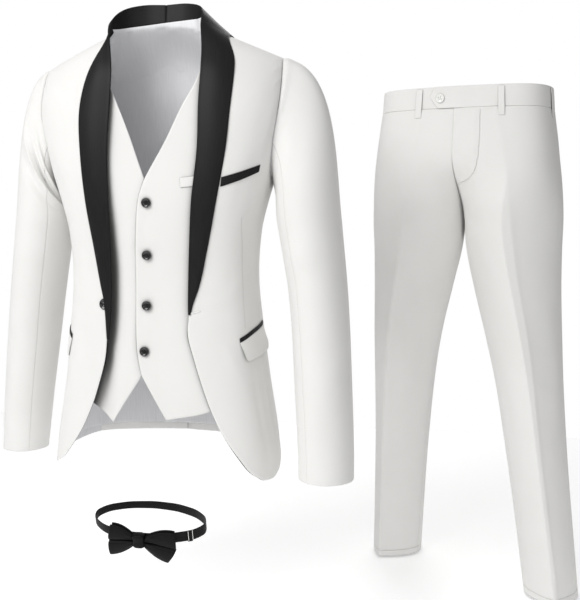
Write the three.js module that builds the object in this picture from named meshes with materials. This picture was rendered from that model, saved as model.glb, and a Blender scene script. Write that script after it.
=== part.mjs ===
// Tuxedo set as worn by an unseen wearer: a white jacket with a black shawl collar over a white
// vest, white trousers standing beside it and a black pre-tied bow tie below it.
// Millimetres, +Z up, +X is the wearer's left, -Y is the front. The origin lies in the jacket's
// neck, on the axis of the body and at the height of the shoulder seams' neck ends.
import * as THREE from 'three';

// Driving dimensions of the jacket
const CLOTH = 1.8;            // jacket cloth with its canvas
const LINING = 1.2;           // lining and facing walls
const SEAM = 0.4;             // clearance between pieces that meet at a seam
const LAPEL_LIFT = 1.4;       // outer face of the collar above the front it lies on
const LAPEL_WALL = 1.0;
const VEST_DEPTH = -6.8;      // vest face under the jacket face
const LINING_DEPTH = -3.4;    // lining face under the jacket face
const SQUARENESS = 0.25;      // how far the body section bulges past an ellipse
const SIDE_SEAM = 88;         // degrees round the body from the centre front
const CENTRE_BACK = 180;
const BREAK_LEVEL = -488;     // where the lapels end at the single button
const BACK_HEM = -733;
const NECK_SHIFT = -7;        // the collar sits a little to the wearer's right
const SHOULDER_DROP = 9;      // the wearer's right shoulder hangs lower
const HEM_LIFT = 15;          // and that front ends higher

// Driving dimensions of the trousers
const TROUSER_PLACE = new THREE.Vector3(517, 394, -74);
const TROUSER_TURN = THREE.MathUtils.degToRad(-14.3);
const TROUSER_CLOTH = 1.6;
const WAISTBAND = 42;
const CROTCH = -268;
const RISE_BLEND = 140;       // height over which the pelvis turns into two legs

// Driving dimensions of the bow tie
const BOW_PLACE = new THREE.Vector3(-38, 0, -878);
const BOW_TILT = THREE.MathUtils.degToRad(14);
const BAND_WIDTH = 19;
const BAND_HALF = new THREE.Vector2(104, 56);

const white = cloth('white_wool', 0xf1f0ee, 0.9);
const black = cloth('black_satin', 0x2b2b2b, 0.45);
const grey = cloth('grey_lining', 0xb4b4b4, 0.4);
const gloss = cloth('black_button', 0x141414, 0.15);
const pearl = cloth('white_button', 0xf4f4f2, 0.25);

const set = new THREE.Group();
const jacket = new THREE.Group();
const trousers = new THREE.Group();
const bowTie = new THREE.Group();
set.add(jacket, trousers, bowTie);
trousers.position.copy(TROUSER_PLACE);
trousers.rotation.z = TROUSER_TURN;
bowTie.position.copy(BOW_PLACE);
bowTie.rotation.x = BOW_TILT;

function cloth(name, color, roughness) {
  return new THREE.MeshStandardMaterial({ name, color, roughness, metalness: 0 });
}

function add(group, name, geometry, material) {
  const mesh = new THREE.Mesh(geometry, material);
  mesh.name = name;
  group.add(mesh);
  return mesh;
}

const clamp01 = (value) => Math.min(1, Math.max(0, value));
const smooth = (value) => clamp01(value) ** 2 * (3 - 2 * clamp01(value));
const mix = (a, b, t) => a + (b - a) * t;
const rad = THREE.MathUtils.degToRad;

// A table is read at any key: rows are listed from the lowest key up and joined smoothly.
function readTable(rows, key) {
  let i = 0;
  while (i < rows.length - 2 && key > rows[i + 1][0]) i += 1;
  const slope = (j) => {
    const low = rows[Math.max(j - 1, 0)];
    const high = rows[Math.min(j + 1, rows.length - 1)];
    return low.map((value, c) => (high[c] - value) / (high[0] - low[0]));
  };
  const step = rows[i + 1][0] - rows[i][0];
  const t = clamp01((key - rows[i][0]) / step);
  const from = slope(i);
  const to = slope(i + 1);
  return rows[i].map((value, c) => (2 * t ** 3 - 3 * t ** 2 + 1) * value
    + (t ** 3 - 2 * t ** 2 + t) * step * from[c]
    + (3 * t ** 2 - 2 * t ** 3) * rows[i + 1][c]
    + (t ** 3 - t ** 2) * step * to[c]);
}

// Points of a smooth curve through a short list of points, cut into equal steps
function curvePoints(points, steps) {
  const curve = new THREE.CatmullRomCurve3(
    points.map(([a, b, c = 0]) => new THREE.Vector3(a, b, c)), false, 'centripetal');
  return curve.getSpacedPoints(steps);
}

// A cloth wall: outer(u, v) gives a point of its face, depth(u, v) the vector to its back.
function wall(outer, depth, across, down) {
  const positions = [];
  const faces = [];
  const columns = across + 1;
  const layer = columns * (down + 1);
  for (const back of [0, 1]) {
    for (let j = 0; j <= down; j += 1) {
      for (let i = 0; i <= across; i += 1) {
        const point = outer(i / across, j / down);
        if (back) point.add(depth(i / across, j / down));
        positions.push(point.x, point.y, point.z);
      }
    }
  }
  const quad = (a, b, c, d) => faces.push(a, b, c, a, c, d);
  const at = (i, j, back) => back * layer + j * columns + i;
  for (let j = 0; j < down; j += 1) {
    for (let i = 0; i < across; i += 1) {
      quad(at(i, j, 0), at(i, j + 1, 0), at(i + 1, j + 1, 0), at(i + 1, j, 0));
      quad(at(i, j, 1), at(i + 1, j, 1), at(i + 1, j + 1, 1), at(i, j + 1, 1));
    }
  }
  for (let j = 0; j < down; j += 1) {
    quad(at(0, j, 0), at(0, j, 1), at(0, j + 1, 1), at(0, j + 1, 0));
    quad(at(across, j, 0), at(across, j + 1, 0), at(across, j + 1, 1), at(across, j, 1));
  }
  for (let i = 0; i < across; i += 1) {
    quad(at(i, 0, 0), at(i + 1, 0, 0), at(i + 1, 0, 1), at(i, 0, 1));
    quad(at(i, down, 0), at(i, down, 1), at(i + 1, down, 1), at(i + 1, down, 0));
  }
  return outward(new THREE.BufferGeometry()
    .setAttribute('position', new THREE.Float32BufferAttribute(positions, 3)), faces);
}

// Faces point outward when the enclosed volume is positive, and are turned over when it isn't.
function outward(geometry, faces) {
  const p = geometry.getAttribute('position');
  const [a, b, c] = [new THREE.Vector3(), new THREE.Vector3(), new THREE.Vector3()];
  let volume = 0;
  for (let f = 0; f < faces.length; f += 3) {
    a.fromBufferAttribute(p, faces[f]);
    b.fromBufferAttribute(p, faces[f + 1]);
    c.fromBufferAttribute(p, faces[f + 2]);
    volume += a.dot(b.cross(c));
  }
  if (volume < 0) {
    for (let f = 0; f < faces.length; f += 3) {
      [faces[f + 1], faces[f + 2]] = [faces[f + 2], faces[f + 1]];
    }
  }
  geometry.setIndex(faces);
  geometry.computeVertexNormals();
  return geometry;
}

// Body of the jacket. A level is a height that follows the slope of the shoulders near the top.
// level, z at the side, z at the centre, half width, depth to the front, depth to the back
const BODY = [
  [-800, -800, -800, 207, 114, 114],
  [-760, -760, -760, 203, 112, 112],
  [-700, -700, -700, 196, 110, 111],
  [-610, -610, -610, 181, 106, 107],
  [-510, -510, -510, 169, 100, 101],
  [-425, -425, -425, 163, 97, 95],
  [-350, -350, -350, 168, 103, 101],
  [-300, -300, -300, 180, 107, 105],
  [-250, -250, -250, 196, 106, 105],
  [-200, -205, -195, 208, 101, 102],
  [-150, -160, -130, 218, 94, 96],
  [-100, -122, -62, 222, 82, 86],
  [-40, -82, 0, 220, 52, 56],
  [-12, -66, 25, 218, 26, 28],
  [0, -62, 30, 217, 0.2, 0.2],
];
const RIDGE_Y = 5;

function bodyFace(theta, level) {
  const [, zSide, zCentre, width, front, back] = readTable(BODY, Math.min(level, 0));
  const s = Math.sin(rad(theta));
  const c = Math.cos(rad(theta));
  const sx = s * (1 + SQUARENESS * c * c);
  const cy = c * (1 + SQUARENESS * s * s);
  const depth = c > 0 ? front : back;
  const lean = RIDGE_Y * smooth((level + 250) / 200);
  const drop = sx < 0 ? SHOULDER_DROP * -sx * smooth((level + 260) / 240) : 0;
  return new THREE.Vector3(width * sx, lean - depth * cy, mix(zCentre, zSide, Math.abs(sx)) - drop);
}

// The outward direction of the body, turned straight up at the shoulder seam
function bodyNormal(theta, level) {
  const at = Math.min(level, -14);
  const du = bodyFace(theta + 0.5, at).sub(bodyFace(theta - 0.5, at));
  const dv = bodyFace(theta, at + 2).sub(bodyFace(theta, at - 2));
  const normal = du.cross(dv).normalize();
  return normal.lerp(new THREE.Vector3(0, 0, 1), smooth((level + 34) / 34)).normalize();
}

function onBody(theta, level, lift = 0) {
  return bodyFace(theta, level).addScaledVector(bodyNormal(theta, level), lift);
}

// A panel's pattern is four edges of (degrees, level). Each edge is a list of smooth stretches
// [points, steps], so that two stretches meet in a corner.
function edge(stretches) {
  const points = [];
  for (const [list, steps] of stretches) {
    const part = curvePoints(list, steps);
    if (points.length) part.shift();
    points.push(...part);
  }
  return points;
}

function pattern({ left, right, top, bottom }) {
  const across = top.length - 1;
  const down = left.length - 1;
  return {
    across,
    down,
    at(u, v) {
      const i = Math.round(u * across);
      const j = Math.round(v * down);
      const blend = (k) => (1 - v) * top[i][k] + v * bottom[i][k]
        + (1 - u) * left[j][k] + u * right[j][k]
        - (1 - u) * (1 - v) * top[0][k] - u * (1 - v) * top[across][k]
        - (1 - u) * v * bottom[0][k] - u * v * bottom[across][k];
      return [blend('x'), blend('y')];
    },
  };
}

function bodyPanel(edges, lift, thickness, side = 1) {
  const plan = pattern(edges);
  const outer = (u, v) => {
    const [theta, level] = plan.at(u, v);
    return onBody(side * theta, level, lift);
  };
  const depth = (u, v) => {
    const [theta, level] = plan.at(u, v);
    return bodyNormal(side * theta, level).multiplyScalar(-thickness);
  };
  return wall(outer, depth, plan.across, plan.down);
}

// Front edges of the jacket: degrees from the centre front, mean of both sides.
// level, roll line or front edge, outer edge of the lapel
const FRONT_EDGE = [
  [-532, 20, 20],
  [BREAK_LEVEL, 19.5, 20.5],
  [-440, 19.8, 26],
  [-380, 20, 30.2],
  [-300, 19, 32],
  [-216, 18, 31],
  [-150, 16.6, 30],
  [-96, 16.5, 28.6],
  [-56, 17.2, 26.8],
  [-14, 18.5, 23.5],
];
const swing = (level) => 2.4 * smooth((level - BREAK_LEVEL) / 300);
const rollLine = (level, side) => readTable(FRONT_EDGE, level)[1]
  + side * swing(level) * (1 - 0.65 * smooth((level + 110) / 60));
const topSwing = (level) => 2.6 * smooth((level + 160) / 110);
const lapelEdge = (level, side) => readTable(FRONT_EDGE, level)[2]
  + side * (swing(level) + topSwing(level));

// Armhole on the pattern, front half from the shoulder down and back half from the bottom up
const SHOULDER_END = 70;
const ARMHOLE_FRONT = [[SHOULDER_END, 0], [69, -40], [67, -90], [66, -150], [69, -205], [76, -243],
  [SIDE_SEAM, -266]];
const ARMHOLE_UNDER = [[SIDE_SEAM, -266], [102, -262], [112, -246], [118, -220]];
const ARMHOLE_BACK = [[118, -220], [121, -185], [121, -140], [118, -85], [113, -40],
  [180 - SHOULDER_END, 0]];
const seamTurn = THREE.MathUtils.radToDeg(SEAM / 2 / 190);

const hemAt = (side) => (side > 0 ? -766 : -766 + HEM_LIFT);

function rollPoints(side) {
  const clear = (level) => 0.9 + 2 * smooth((level + 110) / 80);
  return [0, -56, -150, -216, -300, -380, BREAK_LEVEL - 6]
    .map((level) => [rollLine(level, side) + clear(level), level]);
}

function frontEdge(side) {
  const lift = side > 0 ? 0 : HEM_LIFT;
  const start = rollPoints(side).pop();
  return [start, [20.8, -524], [22.5, -566], [25.5, -610], [29.5, -652], [35, -694],
    [42.5, -730 + lift * 0.1], [50, -756 + lift * 0.6], [60, -772 + lift]];
}

function jacketFront(side) {
  const low = frontEdge(side);
  const start = low[low.length - 1];
  const sideSeam = SIDE_SEAM - seamTurn;
  return bodyPanel({
    left: edge([[rollPoints(side), 11], [low, 9]]),
    right: edge([[ARMHOLE_FRONT, 11], [[[sideSeam, -266], [sideSeam, hemAt(side)]], 9]]),
    top: edge([[[rollPoints(side)[0], [45, 0], [SHOULDER_END, 0]], 8]]),
    bottom: edge([[[start, [74, start[1] - 2], [sideSeam, hemAt(side)]], 8]]),
  }, 0, CLOTH, side);
}

const BACK_SEAM = [[118, -220], [121, -300], [124, -420], [128, -560], [132, -738]];

function jacketSide(side) {
  const sideSeam = SIDE_SEAM + seamTurn;
  return bodyPanel({
    left: edge([[[[sideSeam, -266], [sideSeam, hemAt(side)]], 9]]),
    right: edge([[BACK_SEAM.map(([t, l]) => [t - seamTurn, l]), 9]]),
    top: edge([[ARMHOLE_UNDER, 5]]),
    bottom: edge([[[[sideSeam, hemAt(side)], [110, -746], [132 - seamTurn, -738]], 5]]),
  }, 0, CLOTH, side);
}

function jacketBack(side) {
  const centre = CENTRE_BACK - seamTurn;
  const neck = [[160, 0], [163, -14], [170, -27], [centre, -34]];
  return bodyPanel({
    left: edge([[[...ARMHOLE_BACK].reverse(), 8], [BACK_SEAM.map(([t, l]) => [t + seamTurn, l]), 9]]),
    right: edge([[[[centre, -34], [centre, BACK_HEM]], 17]]),
    top: edge([[[[180 - SHOULDER_END, 0], [135, 0], [160, 0]], 4], [neck, 4]]),
    bottom: edge([[[[132 + seamTurn, -738], [156, -736], [centre, BACK_HEM]], 8]]),
  }, 0, CLOTH, side);
}

// The collar and lapel are one strip from the centre back to the lapel's tail.
// stand foot, fold and outer edge of the collar round the neck, for the wearer's left
const COLLAR = [
  { foot: [0, 31, 9], fold: [0, 36, 46], fall: [180, -66], turn: 0 },
  { foot: [36, 27, 6], fold: [38, 31, 46], fall: [163, -52], turn: 0 },
  { foot: [62, 15, 0], fold: [65, 16, 38], fall: [153, -22], turn: 0 },
  { foot: [75, -4, -8], fold: [77, -8, 22], fall: [26, -2], turn: 2 },
  { foot: [80, -24, -20], fold: [81, -30, 0], fall: [22.8, -16], turn: 5 },
];
const LAPEL_TUCK = 0.8;       // how far the roll's inner edge lies under the front's face
const LAPEL_BELLY = 4;        // how far the lapel swells off the chest
const STAND_SHARE = 2 / 7;    // share of the strip's width that is the stand
const LAPEL_LEVELS = [-60, -100, -150, -216, -300, -380, -440, -470];

function collarRows(side) {
  const tail = side > 0 ? BREAK_LEVEL : BREAK_LEVEL - 44;
  const rows = COLLAR.map(({ foot, fold, fall, turn }) => {
    const shift = ([x, y, z]) => new THREE.Vector3(side * x + NECK_SHIFT, y, z);
    const outer = onBody(side * fall[0] + turn, fall[1], LAPEL_LIFT + LAPEL_WALL);
    return [shift(foot), shift(fold), outer];
  });
  for (const level of [...LAPEL_LEVELS, tail]) {
    const roll = rollLine(level, side) - 0.2;
    const outer = level === tail ? roll + 1.2 : lapelEdge(level, side);
    rows.push([onBody(side * roll, level, -LAPEL_TUCK), onBody(side * roll, level, LAPEL_LIFT + LAPEL_WALL),
      onBody(side * outer, level, LAPEL_LIFT + LAPEL_WALL)]);
  }
  return rows;
}

function lapel(side) {
  const rows = collarRows(side);
  const steps = 26;
  const lines = [0, 1, 2].map((k) => new THREE.CatmullRomCurve3(rows.map((row) => row[k])));
  const gap = new THREE.Vector3(side * SEAM / 2, 0, 0);
  const face = (u, v) => {
    const [foot, fold, fall] = lines.map((line) => line.getPoint(v));
    const across = (u - STAND_SHARE) / (1 - STAND_SHARE);
    const point = across < 0 ? foot.lerp(fold, u / STAND_SHARE) : fold.lerp(fall, across);
    if (across > 0 && v > 0.3) {
      const belly = LAPEL_BELLY * Math.sin(Math.PI * across) * smooth((1 - v) * 4);
      point.add(new THREE.Vector3(side * 0.35, -0.94, 0).multiplyScalar(belly));
    }
    return v === 0 ? point.add(gap) : point;
  };
  const depth = (u, v) => {
    const e = 0.01;
    const du = face(Math.min(u + e, 1), v).sub(face(Math.max(u - e, 0), v));
    const dv = face(u, Math.min(v + e, 1)).sub(face(u, Math.max(v - e, 0.001)));
    return du.cross(dv).normalize().multiplyScalar(side * LAPEL_WALL);
  };
  return wall(face, depth, 7, steps);
}

// Sleeves: rings down the arm, then a cap that runs from the armhole into the first ring.
// z, centre x, centre y, half width, half depth
const SLEEVE = {
  1: [
    [-766, 293, -50, 47, 47],
    [-723, 292, -46, 47.5, 49],
    [-638, 287, -36, 48.5, 53],
    [-468, 275, -18, 50, 60],
    [-332, 256, -6, 55, 66],
  ],
  [-1]: [
    [-766, 305, 50, 42, 44],
    [-660, 289, 40, 44, 50],
    [-560, 271, 28, 46, 54],
    [-478, 256, 18, 47, 58],
    [-333, 230, 5, 49, 62],
  ],
};
const CAP_SHARE = 0.42;
const SLEEVE_SEAM = 125;

function armholePoint(phi, side) {
  const front = phi <= 180;
  const list = front ? ARMHOLE_FRONT : [...ARMHOLE_UNDER, ...ARMHOLE_BACK.slice(1)];
  const curve = new THREE.CatmullRomCurve3(
    list.map(([t, l]) => new THREE.Vector3(t * 3, l, 0)), false, 'centripetal');
  const p = curve.getPointAt(front ? phi / 180 : (phi - 180) / 180);
  const point = onBody(side * p.x / 3, p.y, 0);
  const centre = new THREE.Vector3(side * 205, 0, -150);
  point.add(centre.sub(point).setX(0).normalize().multiplyScalar(1.4));
  return point.setX(point.x + side * SEAM);
}

function sleeveRing(phi, z, side) {
  const [, x, y, width, depth] = readTable(SLEEVE[side], z);
  return new THREE.Vector3(side * (x + width * Math.cos(rad(phi))), y - depth * Math.sin(rad(phi)), z);
}

function sleeveFace(phi, t, side) {
  const rows = SLEEVE[side];
  const top = rows[rows.length - 1][0];
  if (t >= CAP_SHARE) return sleeveRing(phi, mix(top, rows[0][0], (t - CAP_SHARE) / (1 - CAP_SHARE)), side);
  const start = armholePoint(phi, side);
  const end = sleeveRing(phi, top, side);
  const span = start.distanceTo(end);
  const out = (1 + Math.cos(rad(phi))) / 2;
  const reach = side > 0 ? 0.33 + 0.64 * out : 0.28 + 0.38 * out;
  const leave = new THREE.Vector3(side * reach, 0, -0.12 - 0.73 * (1 - out)).multiplyScalar(span);
  const arrive = new THREE.Vector3(side * 0.12, 0, -1).multiplyScalar(span);
  const s = t / CAP_SHARE;
  return start.multiplyScalar(2 * s ** 3 - 3 * s ** 2 + 1)
    .addScaledVector(leave, s ** 3 - 2 * s ** 2 + s)
    .addScaledVector(end, 3 * s ** 2 - 2 * s ** 3)
    .addScaledVector(arrive, s ** 3 - s ** 2);
}

function sleevePanel(side, from, to, across) {
  const turn = (u) => (mix(from, to, u) + 360) % 360;
  const face = (u, v) => sleeveFace(turn(u), v, side);
  const depth = (u, v) => {
    const dp = sleeveFace((turn(u) + 1) % 360, v, side).sub(sleeveFace((turn(u) + 359) % 360, v, side));
    const dt = sleeveFace(turn(u), Math.min(v + 0.01, 1), side)
      .sub(sleeveFace(turn(u), Math.max(v - 0.01, 0), side));
    return dp.cross(dt).normalize().multiplyScalar(-side * CLOTH);
  };
  return wall(face, depth, across, 16);
}

// What lies on the jacket: a strip between two edge curves, raised from the panel under it
function patch(top, bottom, lift, thickness, steps, side = 1) {
  return bodyPanel({
    left: edge([[[top[0], bottom[0]], 3]]),
    right: edge([[[top[top.length - 1], bottom[bottom.length - 1]], 3]]),
    top: edge([[top, steps]]),
    bottom: edge([[bottom, steps]]),
  }, lift, thickness, side);
}

const PATCH_LIFT = 1.6;
const PATCH_WALL = 1.1;

function disc(group, name, theta, level, lift, radius, height, material) {
  const geometry = new THREE.CylinderGeometry(radius, radius, height, 18);
  const mesh = add(group, name, geometry, material);
  const normal = bodyNormal(theta, level);
  mesh.position.copy(onBody(theta, level, lift + height / 2));
  mesh.quaternion.setFromUnitVectors(new THREE.Vector3(0, 1, 0), normal);
}

function jacketFacing(side) {
  const low = frontEdge(side);
  const inner = [[rollLine(-330, side) + 1.2, -330], [rollLine(-400, side) + 1.2, -400], ...low
    .map(([t, l]) => [t + 0.4, l + 1])];
  const width = 15;
  const outerEdge = [[rollLine(-330, side) + width, -330], [35, -480], [38, -600], [50, -700],
    [74, -772 + (side > 0 ? 0 : HEM_LIFT)]];
  return bodyPanel({
    left: edge([[inner, 12]]),
    right: edge([[outerEdge, 12]]),
    top: edge([[[inner[0], outerEdge[0]], 3]]),
    bottom: edge([[[inner[inner.length - 1], outerEdge[outerEdge.length - 1]], 3]]),
  }, LINING_DEPTH, LINING, side);
}

const LINING_TOP = -440;      // the vest hides the lining above this
const mirrored = (list) => list.map(([t, l]) => [360 - t, l]);

function jacketLining() {
  const start = 97;
  const fallEdge = [[start, LINING_TOP], [start, -738]];
  const hem = [[start, -738], [132, -728], [180, BACK_HEM + 13], [228, -728], [360 - start, -738]];
  return bodyPanel({
    left: edge([[fallEdge, 8]]),
    right: edge([[mirrored(fallEdge), 8]]),
    top: edge([[[[start, LINING_TOP], [360 - start, LINING_TOP]], 14]]),
    bottom: edge([[hem, 14]]),
  }, LINING_DEPTH, LINING);
}

// Vest: the left front laps over the right one and ends in a point, as the right one does.
const VEST_SIDE = 92;
const VEST_ARMHOLE = [[44, 0], [50, -90], [57, -170], [72, -245], [VEST_SIDE, -276]];
const VEST_HEM = -578;

function vestFront(side) {
  const lap = [[-1, -264], [-4, -300], [-6.6, -380], [-7, -464], [-6, -548], [-4, -596]]
    .map(([t, l]) => [side > 0 ? t : 0.35 - t, l]);
  const neck = side > 0
    ? [[21, 0], [19.5, -60], [17, -116], [12.6, -152], [6.6, -206], lap[0]]
    : [[20, 0], [18.5, -60], [16, -114], [12.8, -142], [7, -196], lap[0]];
  const point = side > 0 ? [7, -666] : [17, -674];
  const sideEdge = VEST_SIDE - seamTurn;
  return bodyPanel({
    left: edge([[neck, 8], [lap, 6]]),
    right: edge([[VEST_ARMHOLE, 8], [[[sideEdge, -276], [sideEdge, VEST_HEM]], 6]]),
    top: edge([[[neck[0], VEST_ARMHOLE[0]], 8]]),
    bottom: edge([[[lap[lap.length - 1], point], 2],
      [[point, [28, -650], [60, -608], [sideEdge, VEST_HEM]], 6]]),
  }, VEST_DEPTH, CLOTH, side);
}

function vestBack() {
  const sideEdge = VEST_SIDE + seamTurn;
  const armhole = VEST_ARMHOLE.map(([t, l]) => [180 - t, l]).slice(0, 4);
  const left = [...armhole, [sideEdge, -276]];
  const down = [[sideEdge, -276], [sideEdge, VEST_HEM]];
  const neck = [[160, 0], [165, -13], [173, -22], [180, -23.5], [187, -22], [195, -13], [200, 0]];
  return bodyPanel({
    left: edge([[left, 6], [down, 5]]),
    right: edge([[mirrored(left), 6], [mirrored(down), 5]]),
    top: edge([[[[136, 0], [160, 0]], 4], [neck, 8], [[[200, 0], [224, 0]], 4]]),
    bottom: edge([[[[sideEdge, VEST_HEM], [180, VEST_HEM - 12], [360 - sideEdge, VEST_HEM]], 16]]),
  }, VEST_DEPTH, LINING);
}

for (const [side, hand] of [[1, 'left'], [-1, 'right']]) {
  add(jacket, `jacket_front_${hand}`, jacketFront(side), white);
  add(jacket, `jacket_side_${hand}`, jacketSide(side), white);
  add(jacket, `jacket_back_${hand}`, jacketBack(side), white);
  add(jacket, `jacket_lapel_${hand}`, lapel(side), black);
  add(jacket, `jacket_sleeve_top_${hand}`,
    sleevePanel(side, -SLEEVE_SEAM + 0.2, SLEEVE_SEAM - 0.2, 12), white);
  add(jacket, `jacket_sleeve_under_${hand}`,
    sleevePanel(side, SLEEVE_SEAM + 0.2, 360 - SLEEVE_SEAM - 0.2, 5), white);
}

add(jacket, 'jacket_lining_back', jacketLining(), grey);
add(jacket, 'jacket_breast_welt', patch([[34, -262], [47, -251], [60, -240]],
  [[34.5, -277], [47.5, -265], [60.5, -252]], PATCH_LIFT, PATCH_WALL, 7), black);
for (const [side, hand] of [[1, 'left'], [-1, 'right']]) {
  add(jacket, `jacket_facing_${hand}`, jacketFacing(side), black);
  add(jacket, `jacket_hip_welt_${hand}`, patch([[53, -530], [72, -517], [97, -508]],
    [[53, -535.5], [72, -522.5], [97, -513.5]], PATCH_LIFT, PATCH_WALL, 10, side), black);
  add(jacket, `jacket_flap_${hand}`, patch([[53, -536.5], [72, -523.5], [97, -514.5]],
    [[57, -568], [74, -562], [99, -556]], PATCH_LIFT, PATCH_WALL, 10, side), white);
  add(jacket, `vest_front_${hand}`, vestFront(side), white);
}
add(jacket, 'vest_back', vestBack(), grey);
add(jacket, 'vest_breast_welt', patch([[14, -262], [28, -257], [42, -252]],
  [[14.6, -278], [28.6, -273], [42.6, -268]], VEST_DEPTH + PATCH_LIFT, PATCH_WALL, 6), white);
disc(jacket, 'jacket_button', -24.6, -473, 3.6, 9.8, 4, gloss);
const VEST_BUTTONS = [[-0.2, -303, -0.2], [-1, -390, 0.8], [-1.5, -474, 1.1], [-2.4, -551, 0.6]];
VEST_BUTTONS.forEach(([theta, level, lift], i) => {
  disc(jacket, `vest_button_${i + 1}`, theta, level, VEST_DEPTH + lift, 8, 3.4, gloss);
});

// Trousers, in their own frame: z 0 is the top of the waistband.
// z, half width, depth to the front, depth to the back
const PELVIS = [
  [-330, 191, 118, 130],
  [-268, 190, 118, 130],
  [-180, 188, 117, 127],
  [-110, 182, 111, 118],
  [-42, 173, 104, 106],
  [0, 170, 101, 102],
];
// z, half width, half depth, step forward, toe-out in degrees, centre left, centre right
const LEG = [
  [-1006, 53, 75, 52, 15, 202, 155],
  [-900, 55, 77, 46, 14, 188, 150],
  [-750, 59, 81, 38, 12, 167, 143],
  [-600, 66, 88, 28, 10, 146, 134],
  [-500, 75, 95, 20, 8, 130, 126],
  [-400, 86, 104, 12, 5, 113, 113],
  [-320, 95, 112, 4, 2, 102, 102],
  [-268, 98, 117, 0, 0, 99.5, 99.5],
  [-120, 98, 118, 0, 0, 99.5, 99.5],
];
const CREASE = 0.4;

function pelvisFace(phi, z) {
  const [, width, front, back] = readTable(PELVIS, z);
  const s = Math.sin(rad(phi));
  const c = Math.cos(rad(phi));
  return new THREE.Vector3(width * s * (1 + SQUARENESS * c * c),
    -(c > 0 ? front : back) * c * (1 + SQUARENESS * s * s), z);
}

// across 0 is the centre or inner seam, 1 the side seam; face -1 is the front, 1 the back
function trouserFace(across, z, side, face) {
  const [, width, depth, step, toe, left, right] = readTable(LEG, z);
  const centre = side > 0 ? left : right;
  const turn = Math.PI * across;
  const round = Math.sin(turn);
  const pointed = 1 - Math.abs(Math.cos(turn));
  const y = face * (depth * mix(round, pointed, CREASE) + SEAM / 2);
  const x = -width * Math.cos(turn);
  const toeOut = rad(toe);
  const leg = new THREE.Vector3(centre + x * Math.cos(toeOut) - y * Math.sin(toeOut),
    x * Math.sin(toeOut) + y * Math.cos(toeOut) - side * step, z);
  const phi = 90 * across ** 1.6;
  const pelvis = pelvisFace(face < 0 ? phi : 180 - phi, z);
  pelvis.x += SEAM / 2;
  pelvis.y += face * SEAM / 2;
  const point = pelvis.lerp(leg, smooth((CROTCH + RISE_BLEND - z) / RISE_BLEND));
  return point.setX(side * point.x);
}

function trouserPanel(side, face, steps) {
  const down = 19;
  const top = -WAISTBAND - SEAM;
  const level = (v) => mix(top, LEG[0][0], v ** 1.25);
  const at = (u, v) => trouserFace(u, level(v), side, face);
  const depth = (u, v) => {
    const du = at(Math.min(u + 0.02, 1), v).sub(at(Math.max(u - 0.02, 0), v));
    const dv = at(u, Math.min(v + 0.01, 1)).sub(at(u, Math.max(v - 0.01, 0)));
    return du.cross(dv).normalize().multiplyScalar(-side * face * TROUSER_CLOTH);
  };
  return wall(at, depth, steps, down);
}

function pelvisPatch(from, to, top, bottom, lift, thickness, steps, shape = null) {
  const at = (u, v) => {
    const phi = mix(from, to, u);
    const [high, low] = shape ? shape(u) : [top, bottom];
    return [phi, mix(high, low, v)];
  };
  const normal = (phi, z) => {
    const du = pelvisFace(phi + 0.5, z).sub(pelvisFace(phi - 0.5, z));
    return new THREE.Vector3(du.y, -du.x, 0).normalize();
  };
  const outer = (u, v) => {
    const [phi, z] = at(u, v);
    return pelvisFace(phi, z).addScaledVector(normal(phi, z), lift);
  };
  const depth = (u, v) => {
    const [phi, z] = at(u, v);
    return normal(phi, z).multiplyScalar(-thickness);
  };
  return wall(outer, depth, steps, 1);
}

for (const [side, hand] of [[1, 'left'], [-1, 'right']]) {
  add(trousers, `trouser_front_${hand}`, trouserPanel(side, -1, 9), white);
  add(trousers, `trouser_back_${hand}`, trouserPanel(side, 1, 9), white);
  const [from, to] = side > 0 ? [0.06, 179.94] : [180.06, 359.94];
  add(trousers, `waistband_${hand}`, pelvisPatch(from, to, 0, -WAISTBAND, 0, 2.2, 22), white);
}
const LOOP_HALF = 1.9;
const BELT_LOOPS = { front_left: 26, front_right: -20, side_left: 82, side_right: -82, back_left: 150,
  back_right: 210, centre_back: 180 };
for (const [name, phi] of Object.entries(BELT_LOOPS)) {
  add(trousers, `belt_loop_${name}`,
    pelvisPatch(phi - LOOP_HALF, phi + LOOP_HALF, -5, -55, 2, 1.4, 2), white);
}
const tabShape = (u) => [mix(-19, -1.5, clamp01(u * 5)), mix(-21, -41.5, clamp01(u * 2.6))];
add(trousers, 'waistband_tab', pelvisPatch(-13.4, -0.2, 0, 0, 2.5, 2, 10, tabShape), white);

function pelvisDisc(name, phi, z, lift, radius, height, material) {
  const mesh = add(trousers, name, new THREE.CylinderGeometry(radius, radius, height, 18), material);
  const du = pelvisFace(phi + 0.5, z).sub(pelvisFace(phi - 0.5, z));
  const normal = new THREE.Vector3(du.y, -du.x, 0).normalize();
  mesh.position.copy(pelvisFace(phi, z).addScaledVector(normal, lift + height / 2));
  mesh.quaternion.setFromUnitVectors(new THREE.Vector3(0, 1, 0), normal);
}
pelvisDisc('waist_button', -7.4, -23, 3.5, 8.5, 3, pearl);

// Bow tie: a band that stands open as a loop, its slider, and the bow with its knot in front
function bandPoint(phi, lift = 0) {
  const [x, y] = [BAND_HALF.x + lift, BAND_HALF.y + lift];
  return new THREE.Vector3(x * Math.sin(rad(phi)), -y * Math.cos(rad(phi)), 0);
}

function bandPatch(from, to, lift, thickness, height, steps) {
  const outer = (u, v) => bandPoint(mix(from, to, u), lift).setZ(mix(height / 2, -height / 2, v));
  const depth = (u) => bandPoint(mix(from, to, u), lift - thickness).sub(bandPoint(mix(from, to, u), lift));
  return wall(outer, depth, steps, 2);
}

add(bowTie, 'bow_band', bandPatch(2, 358, 0, 1.6, BAND_WIDTH, 40), black);
add(bowTie, 'bow_slider', bandPatch(50, 57, 2.1, 1.6, BAND_WIDTH + 3, 3), gloss);

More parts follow.
